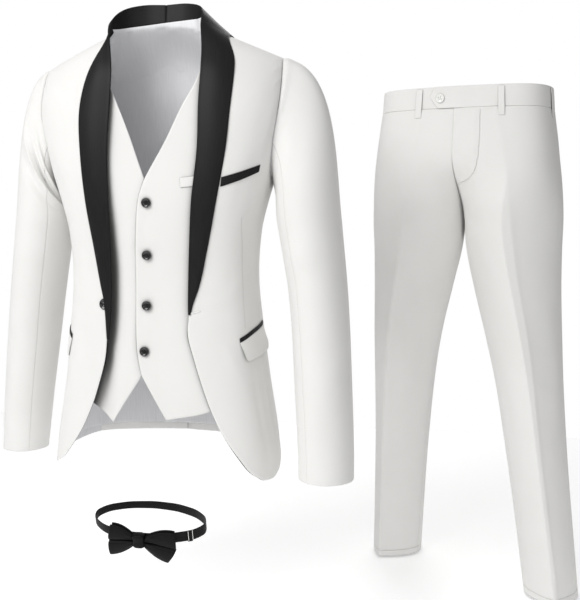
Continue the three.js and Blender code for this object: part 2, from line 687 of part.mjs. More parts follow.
// turn in degrees, reach of the front layer and of the back layer, for the wearer's left and right
const BOW_WINGS = { 1: [13, 63, 61], [-1]: [0, 56, 57] };
const WING_ROOT = 11.15;
const WING_NECK = 11;         // half height of the bow where the knot gathers it
const WING_PUFF = 6;
const KNOT = new THREE.Vector3(10.8, 9, 12.2);

function wing(side, turn, reach, lift, thickness, half) {
  const centre = bandPoint(0, lift);
  const outer = (u, v) => {
    const x = side * mix(WING_ROOT, reach, u);
    const flare = mix(WING_NECK, half, smooth(u) * 0.75 + u * 0.25);
    const y = mix(flare, -flare, v);
    const puff = WING_PUFF * Math.sin(Math.PI * v) * mix(1, 0.45, u);
    const point = new THREE.Vector3(x, -puff, y);
    return point.applyAxisAngle(new THREE.Vector3(0, 1, 0), rad(turn)).add(centre);
  };
  const depth = () => new THREE.Vector3(0, thickness, 0);
  return wall(outer, depth, 6, 6);
}
for (const [side, hand] of [[1, 'left'], [-1, 'right']]) {
  const [turn, reach, backReach] = BOW_WINGS[side];
  add(bowTie, `bow_wing_${hand}`, wing(side, turn, reach, 7, 2.4, 27), black);
  add(bowTie, `bow_back_${hand}`, wing(side, turn, backReach, 3.6, 2.2, 28.5), black);
}
const knot = add(bowTie, 'bow_knot', new THREE.SphereGeometry(1, 14, 9), black);
knot.scale.copy(KNOT);
knot.position.copy(bandPoint(0, KNOT.y));

export default set;
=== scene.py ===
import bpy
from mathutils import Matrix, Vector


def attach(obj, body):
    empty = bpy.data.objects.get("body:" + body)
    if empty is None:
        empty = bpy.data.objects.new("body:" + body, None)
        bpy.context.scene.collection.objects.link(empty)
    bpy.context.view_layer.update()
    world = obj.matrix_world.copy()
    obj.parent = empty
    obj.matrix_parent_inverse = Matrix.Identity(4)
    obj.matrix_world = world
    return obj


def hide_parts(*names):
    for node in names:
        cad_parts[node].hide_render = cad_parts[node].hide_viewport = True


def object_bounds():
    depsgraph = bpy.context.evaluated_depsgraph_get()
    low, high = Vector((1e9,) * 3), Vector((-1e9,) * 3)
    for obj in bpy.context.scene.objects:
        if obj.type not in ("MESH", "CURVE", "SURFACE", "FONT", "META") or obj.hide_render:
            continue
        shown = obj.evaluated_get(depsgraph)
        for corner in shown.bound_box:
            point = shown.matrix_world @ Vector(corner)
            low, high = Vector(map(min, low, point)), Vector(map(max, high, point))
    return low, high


bl_info = {
    "name": "Tuxedo set",
    "version": (1, 0, 0),
    "blender": (4, 5, 0),
    "location": "View3D > Sidebar > Tuxedo",
    "description": "Makes a white tuxedo with its vest, trousers and bow tie, in cloth and buttons",
    "category": "Object",
}

import bmesh
import bpy
import numpy as np
from bpy.props import FloatProperty, PointerProperty, StringProperty
from mathutils import Matrix, Vector

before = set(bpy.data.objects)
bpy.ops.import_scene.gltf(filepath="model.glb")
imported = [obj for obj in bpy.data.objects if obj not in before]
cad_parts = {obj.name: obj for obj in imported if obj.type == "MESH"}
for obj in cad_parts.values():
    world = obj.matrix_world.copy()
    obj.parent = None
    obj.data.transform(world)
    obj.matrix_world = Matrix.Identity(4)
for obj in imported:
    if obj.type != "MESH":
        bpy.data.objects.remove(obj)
CAD_BOX = [list(corner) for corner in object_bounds()]
BODY_NAME = "root"
MM = 0.001
HANDS = ((1, "left"), (-1, "right"))

# Cutting and sewing sizes: millimetres, degrees from the centre front, or plain shares
SEAM = 0.4
CLOTH = 1.8
LINING = 1.2
LAPEL_FACE = 2.4
LAPEL_CLOTH = 1.7
VEST_DEPTH = -6.8
LINING_DEPTH = -3.4
POCKET_LIFT = 1.6
POCKET_CLOTH = 1.1
SIDE_SEAM = 88
BODY_RADIUS = 190
SHOULDER_END = 70
BREAK_LEVEL = -488
BACK_HEM = -733
HEM_LEVEL = -766
UNDERARM = -266
VEST_UNDERARM = -276
NECK_SHIFT = -7
SHOULDER_DROP = 9
HEM_LIFT = 15
RIDGE_Y = 5
SQUARENESS = 0.25
VENT_TOP = -525
TROUSER_CLOTH = 1.6
WAISTBAND = 42
CROTCH = -268
RISE_BLEND = 140
CREASE = 0.4
BAND_WIDTH = 19
BAND_HALF = (104, 56)
FAR = 99.0                    # a distance at which a sewn line no longer shows


def turn_about(axis, degrees, place):
    """The matrix that sets a group of pieces in its place, in millimetres."""
    return np.array(Matrix.Translation(place) @ Matrix.Rotation(np.radians(degrees), 4, axis))


def moved(points, place):
    """Points carried to their group's place."""
    return points @ place[:3, :3].T + place[:3, 3]


JACKET_PLACE = np.eye(4)
TROUSER_PLACE = turn_about("Z", -14.3, (517, 394, -74))
BOW_PLACE = turn_about("X", 14, (-38, 0, -878))

# The body that fills the jacket. A level is a height that follows the slope of the shoulders.
# level, z at the side, z at the centre, half width, depth to the front, depth to the back
BODY = [
    (-800, -800, -800, 207, 114, 114),
    (-760, -760, -760, 203, 112, 112),
    (-700, -700, -700, 196, 110, 111),
    (-610, -610, -610, 181, 106, 107),
    (-510, -510, -510, 169, 100, 101),
    (-425, -425, -425, 163, 97, 95),
    (-350, -350, -350, 168, 103, 101),
    (-300, -300, -300, 180, 107, 105),
    (-250, -250, -250, 196, 106, 105),
    (-200, -205, -195, 208, 101, 102),
    (-150, -160, -130, 218, 94, 96),
    (-100, -122, -62, 222, 82, 86),
    (-40, -82, 0, 220, 52, 56),
    (-12, -66, 25, 218, 26, 28),
    (0, -62, 30, 217, 0.2, 0.2),
]
# level, roll line, outer edge of the lapel, in degrees from the centre front
FRONT_EDGE = [
    (-532, 20, 20),
    (BREAK_LEVEL, 19.5, 20.5),
    (-440, 19.8, 26),
    (-380, 20, 30.2),
    (-300, 19, 32),
    (-216, 18, 31),
    (-150, 16.6, 30),
    (-96, 16.5, 28.6),
    (-56, 17.2, 26.8),
    (-14, 18.5, 23.5),
]
# degrees and levels of each front's cutaway edge, down to where the hem's lift takes over
CUTAWAY = {
    1: [(18.8, -522), (21.6, -564), (25.2, -610), (29.0, -652), (34.4, -694)],
    -1: [(21.3, -524), (21.9, -566), (24.7, -610), (28.3, -652), (34, -694)],
}
ARMHOLE_FRONT = [(SHOULDER_END, 0), (69, -40), (67, -90), (66, -150), (69, -205), (76, -243),
                 (SIDE_SEAM, UNDERARM)]
ARMHOLE_UNDER = [(SIDE_SEAM, UNDERARM), (102, -262), (112, -246), (118, -220)]
ARMHOLE_BACK = [(118, -220), (121, -185), (121, -140), (118, -85), (113, -40), (180 - SHOULDER_END, 0)]
BACK_SEAM = [(118, -220), (121, -300), (124, -420), (128, -560), (132, -738)]
SEAM_TURN = float(np.degrees(SEAM / 2 / BODY_RADIUS))

# stand foot, fold and outer edge of the collar round the neck, and the turn of its outer edge
COLLAR = [
    ((0, 31, 9), (0, 36, 46), (180, -66), 0),
    ((36, 27, 6), (38, 31, 46), (163, -52), 0),
    ((62, 15, 0), (65, 16, 38), (153, -22), 0),
    ((75, -4, -8), (77, -8, 22), (26, -2), 2),
    ((80, -24, -20), (81, -30, 0), (22.8, -16), 5),
]
FOLD_SHARES = (0.24, 0.36)    # where over the collar's width the stand ends and the fall begins
FOLD_ROUND = 4.0              # millimetres of cloth on each side that turn over the fold
LAPEL_LEVELS = [-60, -100, -150, -216, -300, -380, -440, -470]

# z, centre x, centre y, half width, half depth of each sleeve's rings
SLEEVE = {
    1: [(-766, 293, -50, 47, 47), (-723, 292, -46, 47.5, 49), (-638, 287, -36, 48.5, 53),
        (-468, 275, -18, 50, 60), (-332, 256, -6, 55, 66)],
    -1: [(-766, 305, 50, 42, 44), (-660, 289, 40, 44, 50), (-560, 271, 28, 46, 54),
         (-478, 256, 18, 47, 58), (-333, 230, 5, 49, 62)],
}
CAP_SHARE = 0.42
SLEEVE_SEAM = 125
SLEEVE_GAP = 0.2

# z, half width, depth to the front, depth to the back of the hips
PELVIS = [(-330, 191, 118, 130), (-268, 190, 118, 130), (-180, 188, 117, 127), (-110, 182, 111, 118),
          (-42, 173, 104, 106), (0, 170, 101, 102)]
# z, half width, half depth, step forward, toe-out in degrees, centre left, centre right
LEG = [
    (-1006, 53, 75, 52, 15, 202, 155),
    (-900, 55, 77, 46, 14, 188, 150),
    (-750, 59, 81, 38, 12, 167, 143),
    (-600, 66, 88, 28, 10, 146, 134),
    (-500, 75, 95, 20, 8, 130, 126),
    (-400, 86, 104, 12, 5, 113, 113),
    (-320, 95, 112, 4, 2, 102, 102),
    (-268, 98, 117, 0, 0, 99.5, 99.5),
    (-120, 98, 118, 0, 0, 99.5, 99.5),
]


# Arithmetic
def smooth(value):
    """0 below 0, 1 above 1, and a soft step between."""
    t = np.clip(value, 0, 1)
    return t * t * (3 - 2 * t)


def mix(a, b, t):
    """A share t of the way from a to b."""
    return a + (b - a) * t


def bell(value, centre, width):
    """1 at the centre, falling softly to 0 on both sides."""
    return np.exp(-((value - centre) / width) ** 2)


def hermite(a, leave, b, arrive, t):
    """A cubic from a to b with its two end speeds."""
    return ((2 * t**3 - 3 * t**2 + 1) * a + (t**3 - 2 * t**2 + t) * leave
            + (3 * t**2 - 2 * t**3) * b + (t**3 - t**2) * arrive)


def unit(vectors):
    """The same directions, one long."""
    return vectors / np.maximum(np.linalg.norm(vectors, axis=-1, keepdims=True), 1e-9)


def read_table(rows, key):
    """Every column of a table at any keys. Rows run from the lowest key up and are joined smoothly."""
    rows = np.array(rows, float)
    key = np.asarray(key, float)
    keys = rows[:, 0]
    i = np.clip(np.searchsorted(keys, key, side="left") - 1, 0, len(rows) - 2)
    last = len(rows) - 1
    order = np.arange(len(rows))
    low = rows[np.maximum(order - 1, 0)]
    high = rows[np.minimum(order + 1, last)]
    slope = (high - low) / (high[:, :1] - low[:, :1])
    step = (keys[i + 1] - keys[i])[..., None]
    t = np.clip((key - keys[i]) / step[..., 0], 0, 1)[..., None]
    found = hermite(rows[i], slope[i] * step, rows[i + 1], slope[i + 1] * step, t)
    return np.moveaxis(found, -1, 0)


def through(points, at):
    """A smooth curve through a few points; at runs from 0 to the last point's number."""
    p = np.array(points, float)
    p = np.vstack([2 * p[0] - p[1], p, 2 * p[-1] - p[-2]])
    at = np.asarray(at, float)
    i = np.clip(np.floor(at).astype(int), 0, len(p) - 4)
    t = (at - i)[:, None]
    a, b, c, d = p[i], p[i + 1], p[i + 2], p[i + 3]

    def root(one, other):
        return np.maximum(np.sum((one - other) ** 2, axis=1) ** 0.25, 1e-4)[:, None]

    ab, bc, cd = root(a, b), root(b, c), root(c, d)
    leave = ((b - a) / ab - (c - a) / (ab + bc) + (c - b) / bc) * bc
    arrive = ((c - b) / bc - (d - b) / (bc + cd) + (d - c) / cd) * bc
    return hermite(b, leave, c, arrive, t)


def spaced(points, share):
    """Points of the smooth curve at shares of its length."""
    steps_each = 60
    fine = np.linspace(0, len(points) - 1, steps_each * (len(points) - 1) + 1)
    line = through(points, fine)
    run = np.concatenate([[0], np.cumsum(np.linalg.norm(np.diff(line, axis=0), axis=1))])
    return through(points, np.interp(np.asarray(share) * run[-1], run, fine))


def along(stretches, share):
    """Points at shares of an edge whose stretches (points, steps) meet in corners."""
    total = sum(steps for _, steps in stretches)
    where = np.asarray(share, float) * total
    found = np.zeros((len(where), 2))
    start = 0
    for points, steps in stretches:
        here = (where >= start - 1e-6) & (where <= start + steps + 1e-6)
        found[here] = spaced(points, np.clip((where[here] - start) / steps, 0, 1))
        start += steps
    return found


def grid_lines(count, near=(0.0035, 0.009, 0.02)):
    """Shares from 0 to 1 with a few extra lines close to both ends, where cloth rolls over."""
    close = np.array(near)
    every = np.concatenate([np.linspace(0, 1, count + 1), close, 1 - close])
    return np.unique(np.round(every, 6))


def panel_plan(edges, u, v):
    """(degrees, level) at each crossing of a panel's lines, from its four edges."""
    left = along(edges["left"], v)[:, None, :]
    right = along(edges["right"], v)[:, None, :]
    top = along(edges["top"], u)[None]
    bottom = along(edges["bottom"], u)[None]
    s = u[None, :, None]
    t = v[:, None, None]
    corners = ((1 - s) * (1 - t) * top[:, :1] + s * (1 - t) * top[:, -1:]
               + (1 - s) * t * bottom[:, :1] + s * t * bottom[:, -1:])
    plan = (1 - t) * top + t * bottom + (1 - s) * left + s * right - corners
    return plan[..., 0], plan[..., 1]


def line_distance(x, y, path):
    """Signed distance of points to a path, and the share along it; it grows past both ends."""
    path = np.array(path, float)
    best = np.full(np.shape(x), 1e9)
    side = np.ones(np.shape(x))
    share = np.zeros(np.shape(x))
    lengths = np.linalg.norm(np.diff(path, axis=0), axis=1)
    run = np.concatenate([[0], np.cumsum(lengths)])
    for k in range(len(lengths)):
        d = path[k + 1] - path[k]
        t = ((x - path[k, 0]) * d[0] + (y - path[k, 1]) * d[1]) / lengths[k] ** 2
        t = np.clip(t, 0, 1)
        across = x - path[k, 0] - t * d[0]
        up = y - path[k, 1] - t * d[1]
        gap = np.hypot(across, up)
        nearer = gap < best
        best = np.where(nearer, gap, best)
        side = np.where(nearer, np.sign(across * d[1] - up * d[0]) + 1e-9, side)
        share = np.where(nearer, (run[k] + t * lengths[k]) / run[-1], share)
    return best * np.sign(side), share


def fold(x, y, path, width, height):
    """A soft ridge of cloth along a path, which fades out at its ends."""
    gap, share = line_distance(x, y, path)
    return height * bell(gap, 0, width) * np.sin(np.pi * np.clip(share, 0.02, 0.98)) ** 0.7


def scaled(path, by):
    """A path whose first numbers are turned into millimetres of cloth."""
    return [(first * by, second) for first, second in path]


def with_folds(rise, x, y, folds, by):
    """The rise of cloth with folds added, whose paths are scaled to millimetres."""
    for path, width, height in folds:
        rise = rise + fold(x, y, scaled(path, by), width, height)
    return rise


def layered(marks, shape):
    """Three layers of distances to sewn lines; those without a line are far away."""
    return np.stack(marks + [np.full(shape, FAR)] * (3 - len(marks)), axis=-1)


def sewn_distance(x, y, path):
    """Signed distance to a sewn line, which ends where its path ends."""
    signed, share = line_distance(x, y, path)
    return np.where((share > 0) & (share < 1), signed, FAR)


# The jacket's body
def body_face(theta, level):
    """Points of the body that fills the jacket, at degrees from the centre front and levels."""
    theta, level = np.broadcast_arrays(np.asarray(theta, float), np.asarray(level, float))
    _, z_side, z_centre, width, front, back = read_table(BODY, np.minimum(level, 0))
    s = np.sin(np.radians(theta))
    c = np.cos(np.radians(theta))
    sx = s * (1 + SQUARENESS * c * c)
    cy = c * (1 + SQUARENESS * s * s)
    depth = np.where(c > 0, front, back)
    lean = RIDGE_Y * smooth((level + 250) / 200)
    drop = np.where(sx < 0, SHOULDER_DROP * -sx * smooth((level + 260) / 240), 0)
    return np.stack([width * sx, lean - depth * cy, mix(z_centre, z_side, np.abs(sx)) - drop], axis=-1)


def body_normal(theta, level):
    """The outward direction of the body, turned straight up at the shoulder seam."""
    theta, level = np.broadcast_arrays(np.asarray(theta, float), np.asarray(level, float))
    at = np.minimum(level, -14)
    du = body_face(theta + 0.5, at) - body_face(theta - 0.5, at)
    dv = body_face(theta, at + 2) - body_face(theta, at - 2)
    normal = unit(np.cross(du, dv))
    up = smooth((level + 34) / 34)[..., None]
    return unit(mix(normal, np.array([0.0, 0.0, 1.0]), up))


def on_body(theta, level, lift=0.0):
    """Points at a lift above the body."""
    return body_face(theta, level) + body_normal(theta, level) * np.asarray(lift, float)[..., None]


def swing(level):
    """How far both front edges swing to the wearer's left above the break."""
    return 2.4 * smooth((np.asarray(level) - BREAK_LEVEL) / 300)


def roll_line(level, side):
    """Where the lapel folds, in degrees from the centre front."""
    level = np.asarray(level, float)
    return read_table(FRONT_EDGE, level)[1] + side * swing(level) * (1 - 0.65 * smooth((level + 110) / 60))


def lapel_edge(level, side):
    """Where the lapel ends on the front, in degrees from the centre front."""
    level = np.asarray(level, float)
    over_button = 1.5 * bell(level, -468, 26) if side < 0 else 0.0
    return (read_table(FRONT_EDGE, level)[2] + over_button
            + side * (swing(level) + 2.6 * smooth((level + 160) / 110)))


def roll_points(side):
    """The front's edge under the lapel."""
    levels = [0, -56, -150, -216, -300, -380, BREAK_LEVEL - 6]
    inset = [0.9] * 6 + [0.0 if side > 0 else 0.9]
    return [(float(roll_line(level, side)) + tuck + 2 * float(smooth((level + 110) / 80)), level)
            for level, tuck in zip(levels, inset)]


def hem_at(side):
    """Level of the hem at the side seam."""
    return HEM_LEVEL if side > 0 else HEM_LEVEL + HEM_LIFT


def front_edge(side):
    """The cutaway edge below the button."""
    lift = 0 if side > 0 else HEM_LIFT
    return [roll_points(side)[-1]] + CUTAWAY[side] + [
        (42.3, -730 + lift * 0.1), (50, -756 + lift * 0.6), (60, -772 + lift)]


# What the body's cloth does between its seams: paths in degrees and levels for the wearer's left, width
# and height of each fold; first the drags at the button, then shoulder, chest and skirt
BODY_FOLDS = [
    ([(27, -478), (45, -462), (66, -420)], 9, 0.9),
    ([(27, -488), (46, -500), (70, -505)], 10, 0.8),
    ([(30, -500), (44, -560), (60, -640)], 12, 0.8),
    ([(69, -20), (62, -22), (54, -34)], 3.5, 0.7),
    ([(69, -40), (62, -46), (55, -62)], 4.0, 0.8),
    ([(68, -66), (62, -78), (57, -100)], 4.5, 0.7),
    ([(64, -90), (60, -170), (58, -240)], 13, 1.2),
    ([(60, -205), (50, -260), (46, -330)], 14, -0.8),
    ([(80, -540), (83, -640), (86, -760)], 16, 2.2),
    ([(66, -560), (66, -660), (70, -765)], 15, -1.6),
    ([(110, -480), (112, -600), (114, -740)], 17, 2.0),
    ([(150, -440), (150, -580), (152, -735)], 16, -1.8),
    ([(140, -150), (146, -260), (150, -400)], 18, 1.6),
]
DEGREE = 3.1                  # millimetres of cloth in a degree round the body


def body_relief(theta, level):
    """How far the jacket's cloth stands off the plain body: drags at the button, drape in the skirt."""
    x = np.abs(theta) * DEGREE
    return with_folds(np.zeros(np.shape(x)), x, level, BODY_FOLDS, DEGREE)


def marks_on_body(theta, level, paths):
    """Signed distances to up to three sewn lines, kept with the cloth for its material."""
    x = theta * DEGREE
    return layered([sewn_distance(x, level, scaled(path, DEGREE)) for path in paths], np.shape(x))


DART = [(55, -324), (60, -380), (61, -448), (60, -516)]


# Meshes
def closed_ring(rows, cols):
    """The border of a grid in order, and for each of its points the one just inside."""
    border = [(0, i) for i in range(cols)]
    border += [(j, cols - 1) for j in range(1, rows)]
    border += [(rows - 1, i) for i in range(cols - 2, -1, -1)]
    border += [(j, 0) for j in range(rows - 2, 0, -1)]
    border = np.array(border)
    inside = np.stack([np.clip(border[:, 0], 1, rows - 2), np.clip(border[:, 1], 1, cols - 2)], axis=1)
    return border[:, 0] * cols + border[:, 1], inside[:, 0] * cols + inside[:, 1]


def quads(rows, cols, start, turned):
    """The quads of a grid whose first point has the number start."""
    j, i = np.mgrid[0:rows - 1, 0:cols - 1]
    a = start + j * cols + i
    faces = np.stack([a, a + cols, a + cols + 1, a + 1], axis=-1).reshape(-1, 4)
    return faces[:, ::-1] if turned else faces


def new_object(name, data):
    """An object in the scene for a mesh, a light or a camera."""
    made = bpy.data.objects.new(name, data)
    bpy.context.scene.collection.objects.link(made)
    return made


def make_mesh(name, points, faces, uv, marks=None, slots=None):
    """A mesh in metres with its cut as UV map and its sewn lines as an attribute."""
    mesh = bpy.data.meshes.new(name)
    mesh.from_pydata((np.asarray(points) * MM).tolist(), [], faces)
    mesh.update()
    layer = mesh.uv_layers.new(name="cut")
    corner = np.zeros(len(mesh.loops), np.int32)
    mesh.loops.foreach_get("vertex_index", corner)
    layer.data.foreach_set("uv", (np.asarray(uv) * MM)[corner].astype(np.float32).ravel())
    if marks is not None:
        lines = mesh.attributes.new("sewn", "FLOAT_VECTOR", "POINT")
        lines.data.foreach_set("vector", np.asarray(marks, np.float32).ravel())
    if slots is not None:
        mesh.polygons.foreach_set("material_index", np.asarray(slots, np.int32))
    mesh.polygons.foreach_set("use_smooth", np.ones(len(mesh.polygons), bool))
    return new_object(name, mesh)


def cloth_run(face, axis):
    """Length of cloth from the first line of a grid to each of its points, along one of its axes."""
    steps = np.linalg.norm(np.diff(face, axis=axis), axis=2)
    return np.insert(np.cumsum(steps, axis=axis), 0, 0, axis=axis)


def cloth_piece(name, face, normal, wall, place, finishes, marks=None, roll=0.55, reach=2.6, swell=0.12):
    """A piece of cloth with its thickness and rolled edges, from a grid of points of its outer face.

    roll is how far the face sinks within reach of an edge, and swell how far the edge bulges out. The
    last of the finishes is the one inside."""
    rows, cols = face.shape[:2]
    count = rows * cols
    across = cloth_run(face, 1)
    down = cloth_run(face, 0)
    edge = np.minimum(np.minimum(across, across[:, -1:] - across), np.minimum(down, down[-1:] - down))
    soft = 1 - smooth(edge / reach)
    outer = (face - normal * (roll * soft)[..., None]).reshape(-1, 3)
    inner = (face - normal * (wall - 0.6 * roll * soft)[..., None]).reshape(-1, 3)
    ring, neighbour = closed_ring(rows, cols)
    middle = (outer[ring] + inner[ring]) / 2 + unit(outer[ring] - outer[neighbour]) * swell

    du = face[1:-1, 2:] - face[1:-1, :-2]
    dv = face[2:, 1:-1] - face[:-2, 1:-1]
    turned = np.sum(np.cross(dv, du) * normal[1:-1, 1:-1]) < 0
    top_faces = quads(rows, cols, 0, turned)
    under_faces = quads(rows, cols, count, not turned)
    this = np.arange(len(ring))
    after = np.roll(this, -1)
    rim = np.vstack([
        np.stack([ring, ring[after], 2 * count + after, 2 * count + this], axis=1),
        np.stack([2 * count + this, 2 * count + after, count + ring[after], count + ring], axis=1)])
    if turned:
        rim = rim[:, ::-1]
    faces = np.vstack([top_faces, under_faces, rim]).tolist()
    slots = np.repeat([0, len(finishes) - 1, 0], [len(top_faces), len(under_faces), len(rim)])

    uv = np.stack([across - across[:, cols // 2, None], down[rows // 2] - down], axis=-1).reshape(-1, 2)
    marks = np.full((count, 3), FAR) if marks is None else marks.reshape(-1, 3)
    piece = make_mesh(name, moved(np.vstack([outer, inner, middle]), place), faces,
                      np.vstack([uv, uv, uv[ring]]), np.vstack([marks, marks, marks[ring]]), slots)
    for each in finishes:
        piece.data.materials.append(finish(each))
    area = np.sum(np.linalg.norm(np.cross(
        face[1:, :-1] - face[:-1, :-1], face[:-1, 1:] - face[:-1, :-1]), axis=-1)) * MM * MM
    width = float(across[:, -1].max()) * MM
    length = float(down[-1].max()) * MM
    piece["cut"] = [width, length, float(min(area, width * length))]
    return piece


def grid_normals(face, outward):
    """Directions square to a grid's surface, on the side that outward points to."""
    du = np.gradient(face, axis=1)
    dv = np.gradient(face, axis=0)
    normal = unit(np.cross(du, dv))
    return normal if np.sum(normal * outward) > 0 else -normal


def hand_in(piece, node):
    """Rides the piece on the body, lets it stand for its node and takes off the cut it carried."""
    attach(piece, BODY_NAME)
    if isinstance(node, str):
        node = (node,)
    if node:
        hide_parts(*node)
    if "cut" in piece:
        del piece["cut"]


# Materials
def linear(hex_colour):
    """The shader's colour of an sRGB hex value."""
    levels = [int(hex_colour[k:k + 2], 16) / 255 for k in (1, 3, 5)]
    return tuple(c / 12.92 if c <= 0.04045 else ((c + 0.055) / 1.055) ** 2.4 for c in levels) + (1.0,)


def add_node(tree, kind, inputs=None, **settings):
    """Adds a node. inputs gives its sockets, by name or number, a value or another node's output."""
    node = tree.nodes.new(kind)
    for key, value in settings.items():
        setattr(node, key, value)
    for socket, value in (inputs or {}).items():
        if isinstance(value, bpy.types.NodeSocket):
            tree.links.new(value, node.inputs[socket])
        else:
            node.inputs[socket].default_value = value
    return node


def new_material(name):
    """An empty material and its tree."""
    material = bpy.data.materials.new(name)
    material.use_nodes = True
    tree = material.node_tree
    tree.nodes.clear()
    return material, tree


def calc(tree, operation, *values):
    """One step of arithmetic on values or other nodes' outputs."""
    return add_node(tree, "ShaderNodeMath", dict(enumerate(values)), operation=operation).outputs[0]


def ranged(tree, value, span, to):
    """A value whose span is stretched to another one."""
    limits = {"From Min": span[0], "From Max": span[1], "To Min": to[0], "To Max": to[1]}
    return add_node(tree, "ShaderNodeMapRange", {"Value": value, **limits}).outputs[0]


def blended(tree, share, first, second, blend="MIX"):
    """Two colours mixed, or multiplied, by a share."""
    return add_node(tree, "ShaderNodeMix", {0: share, 6: first, 7: second}, data_type="RGBA",
                    blend_type=blend).outputs[2]


def noise(tree, place, scale, detail, distortion=0.0):
    """Cloudy values from 0 to 1."""
    return add_node(tree, "ShaderNodeTexNoise", {
        "Vector": place, "Scale": scale, "Detail": detail, "Distortion": distortion}).outputs["Fac"]


def dented(tree, height, strength, distance, **under):
    """The shading direction of a surface with a fine relief."""
    return add_node(tree, "ShaderNodeBump", {
        "Height": height, "Strength": strength, "Distance": distance, **under}).outputs[0]


def surface(tree, sockets):
    """Ends a material with its shader, whose sockets are given by name."""
    shader = add_node(tree, "ShaderNodeBsdfPrincipled", sockets)
    add_node(tree, "ShaderNodeOutputMaterial", {"Surface": shader.outputs[0]})


WAVE_PERIOD = 0.314159        # length of one wave of the Wave texture at scale 1
PLY_LENGTH = 0.0006           # metres from ply to ply of the thread


def sewn_lines(tree, width_mm):
    """How strongly a point lies on one of its piece's sewn lines, 0 to 1."""
    kept = add_node(tree, "ShaderNodeAttribute", attribute_name="sewn")
    each = add_node(tree, "ShaderNodeSeparateXYZ", {0: kept.outputs["Vector"]})
    bells = []
    for gap in each.outputs:
        square = calc(tree, "MULTIPLY", gap, gap)
        bells.append(calc(tree, "EXPONENT", calc(tree, "MULTIPLY", square, -1 / width_mm**2)))
    return calc(tree, "ADD", calc(tree, "ADD", bells[0], bells[1]), bells[2])


def weave(tree, thread_mm):
    """The piece's own cut, and on it the height of a plain weave of two crossed sets of threads."""
    cut = add_node(tree, "ShaderNodeUVMap", uv_map="cut").outputs[0]
    warp, weft = (add_node(tree, "ShaderNodeTexWave", {
        "Vector": cut, "Scale": WAVE_PERIOD / (thread_mm * MM), "Distortion": 0.6, "Detail": 1.0,
        "Detail Scale": 0.4}, wave_type="BANDS", bands_direction=way).outputs["Fac"] for way in "XY")
    return cut, calc(tree, "MULTIPLY", warp, weft)


def suiting(name, colour, shade, settings, painted_shade_reach, painted_shade_tone):
    """Worsted-blend suiting, woven and pressed: matt white, finely woven, with painted shade that greys its
    colour where cloth lies close.
    """
    material, tree = new_material(name)
    cut, threads = weave(tree, settings.thread_shown)
    line = sewn_lines(tree, settings.line_width)
    cloudy = ranged(tree, noise(tree, cut, 9.0, 3.0), (0.35, 0.75), (0.0, 0.35))
    body = blended(tree, cloudy, linear(colour), linear(shade))
    grain = ranged(tree, noise(tree, cut, 900.0, 2.0), (0.0, 1.0), (0.965, 1.03))
    threaded = blended(tree, 1.0, body, grain, "MULTIPLY")
    # painted shade: ambient occlusion darkens the cloth's colour where other cloth lies close, down to the
    # painted shade tone
    painted_crevice_shade = add_node(tree, "ShaderNodeAmbientOcclusion", {"Distance": painted_shade_reach}, samples=12)
    depth = ranged(tree, painted_crevice_shade.outputs["AO"], (0.35, 0.93), (painted_shade_tone, 1.0))
    shaded = blended(tree, 1.0, threaded, depth, "MULTIPLY")
    # painted shade: the colour darkens towards grey along sewn lines, standing in for the shade in their
    # dents
    seam_shaded = blended(tree, calc(tree, "MULTIPLY", line, 0.2), shaded, linear("#8f8e8c"))
    woven = dented(tree, threads, 0.35, 0.00012)
    sewn = dented(tree, calc(tree, "MULTIPLY", line, -1.0), 0.9, 0.0009, Normal=woven)
    surface(tree, {"Base Color": seam_shaded, "Roughness": 0.78, "Specular IOR Level": 0.25,
                   "Sheen Weight": 0.12, "Sheen Roughness": 0.5, "Normal": sewn})
    return material


def satin(name, colour, painted_sheen_colour, roughness, thread_mm):
    """Polyester satin, woven with long floats: dark and smooth, with a soft gloss along its threads, partly
    real through rougher and smoother streaks and partly a painted sheen of lighter streaks in its colour.
    """
    material, tree = new_material(name)
    cut, threads = weave(tree, thread_mm)
    stretched = add_node(tree, "ShaderNodeMapping", {"Vector": cut, "Scale": (900.0, 26.0, 1.0)})
    streaks = noise(tree, stretched.outputs[0], 1.0, 2.0)
    tone = ranged(tree, streaks, (0.3, 0.7), (0.0, 1.0))
    worn = ranged(tree, streaks, (0.0, 1.0), (roughness - 0.06, roughness + 0.08))
    # painted sheen: the colour streaks towards the lighter painted sheen colour along the threads
    surface(tree, {"Base Color": blended(tree, tone, linear(colour), linear(painted_sheen_colour)),
                   "Roughness": worn, "Specular IOR Level": 0.15,
                   "Normal": dented(tree, threads, 0.25, 0.00008)})
    return material


def resin(name, colour, swirl, roughness):
    """Cast polyester resin, turned and tumbled: a polished button with faint swirls in it."""
    material, tree = new_material(name)
    place = add_node(tree, "ShaderNodeTexCoord").outputs["Object"]
    tone = ranged(tree, noise(tree, place, 160.0, 4.0, 1.5), (0.45, 0.7), (0.0, 1.0))
    surface(tree, {"Base Color": blended(tree, tone, linear(colour), linear(swirl)),
                   "Roughness": roughness, "IOR": 1.54, "Coat Weight": 0.4, "Coat Roughness": 0.08})
    return material


def thread(name, colour):
    """Spun polyester sewing thread: matt, with the twist of its plies."""
    material, tree = new_material(name)
    place = add_node(tree, "ShaderNodeTexCoord").outputs["Object"]
    plies = add_node(tree, "ShaderNodeTexWave", {"Vector": place, "Scale": WAVE_PERIOD / PLY_LENGTH},
                     wave_type="BANDS", bands_direction="DIAGONAL")
    surface(tree, {"Base Color": linear(colour), "Roughness": 0.7,
                   "Normal": dented(tree, plies.outputs["Fac"], 0.4, 0.0001)})
    return material


def paper_floor(name, colour):
    """Matt studio paper, lit from below as a light table is, so that shadows on it stay faint."""
    material, tree = new_material(name)
    surface(tree, {"Base Color": linear(colour), "Roughness": 0.9, "Emission Color": linear("#ffffff"),
                   "Emission Strength": 0.36})
    return material


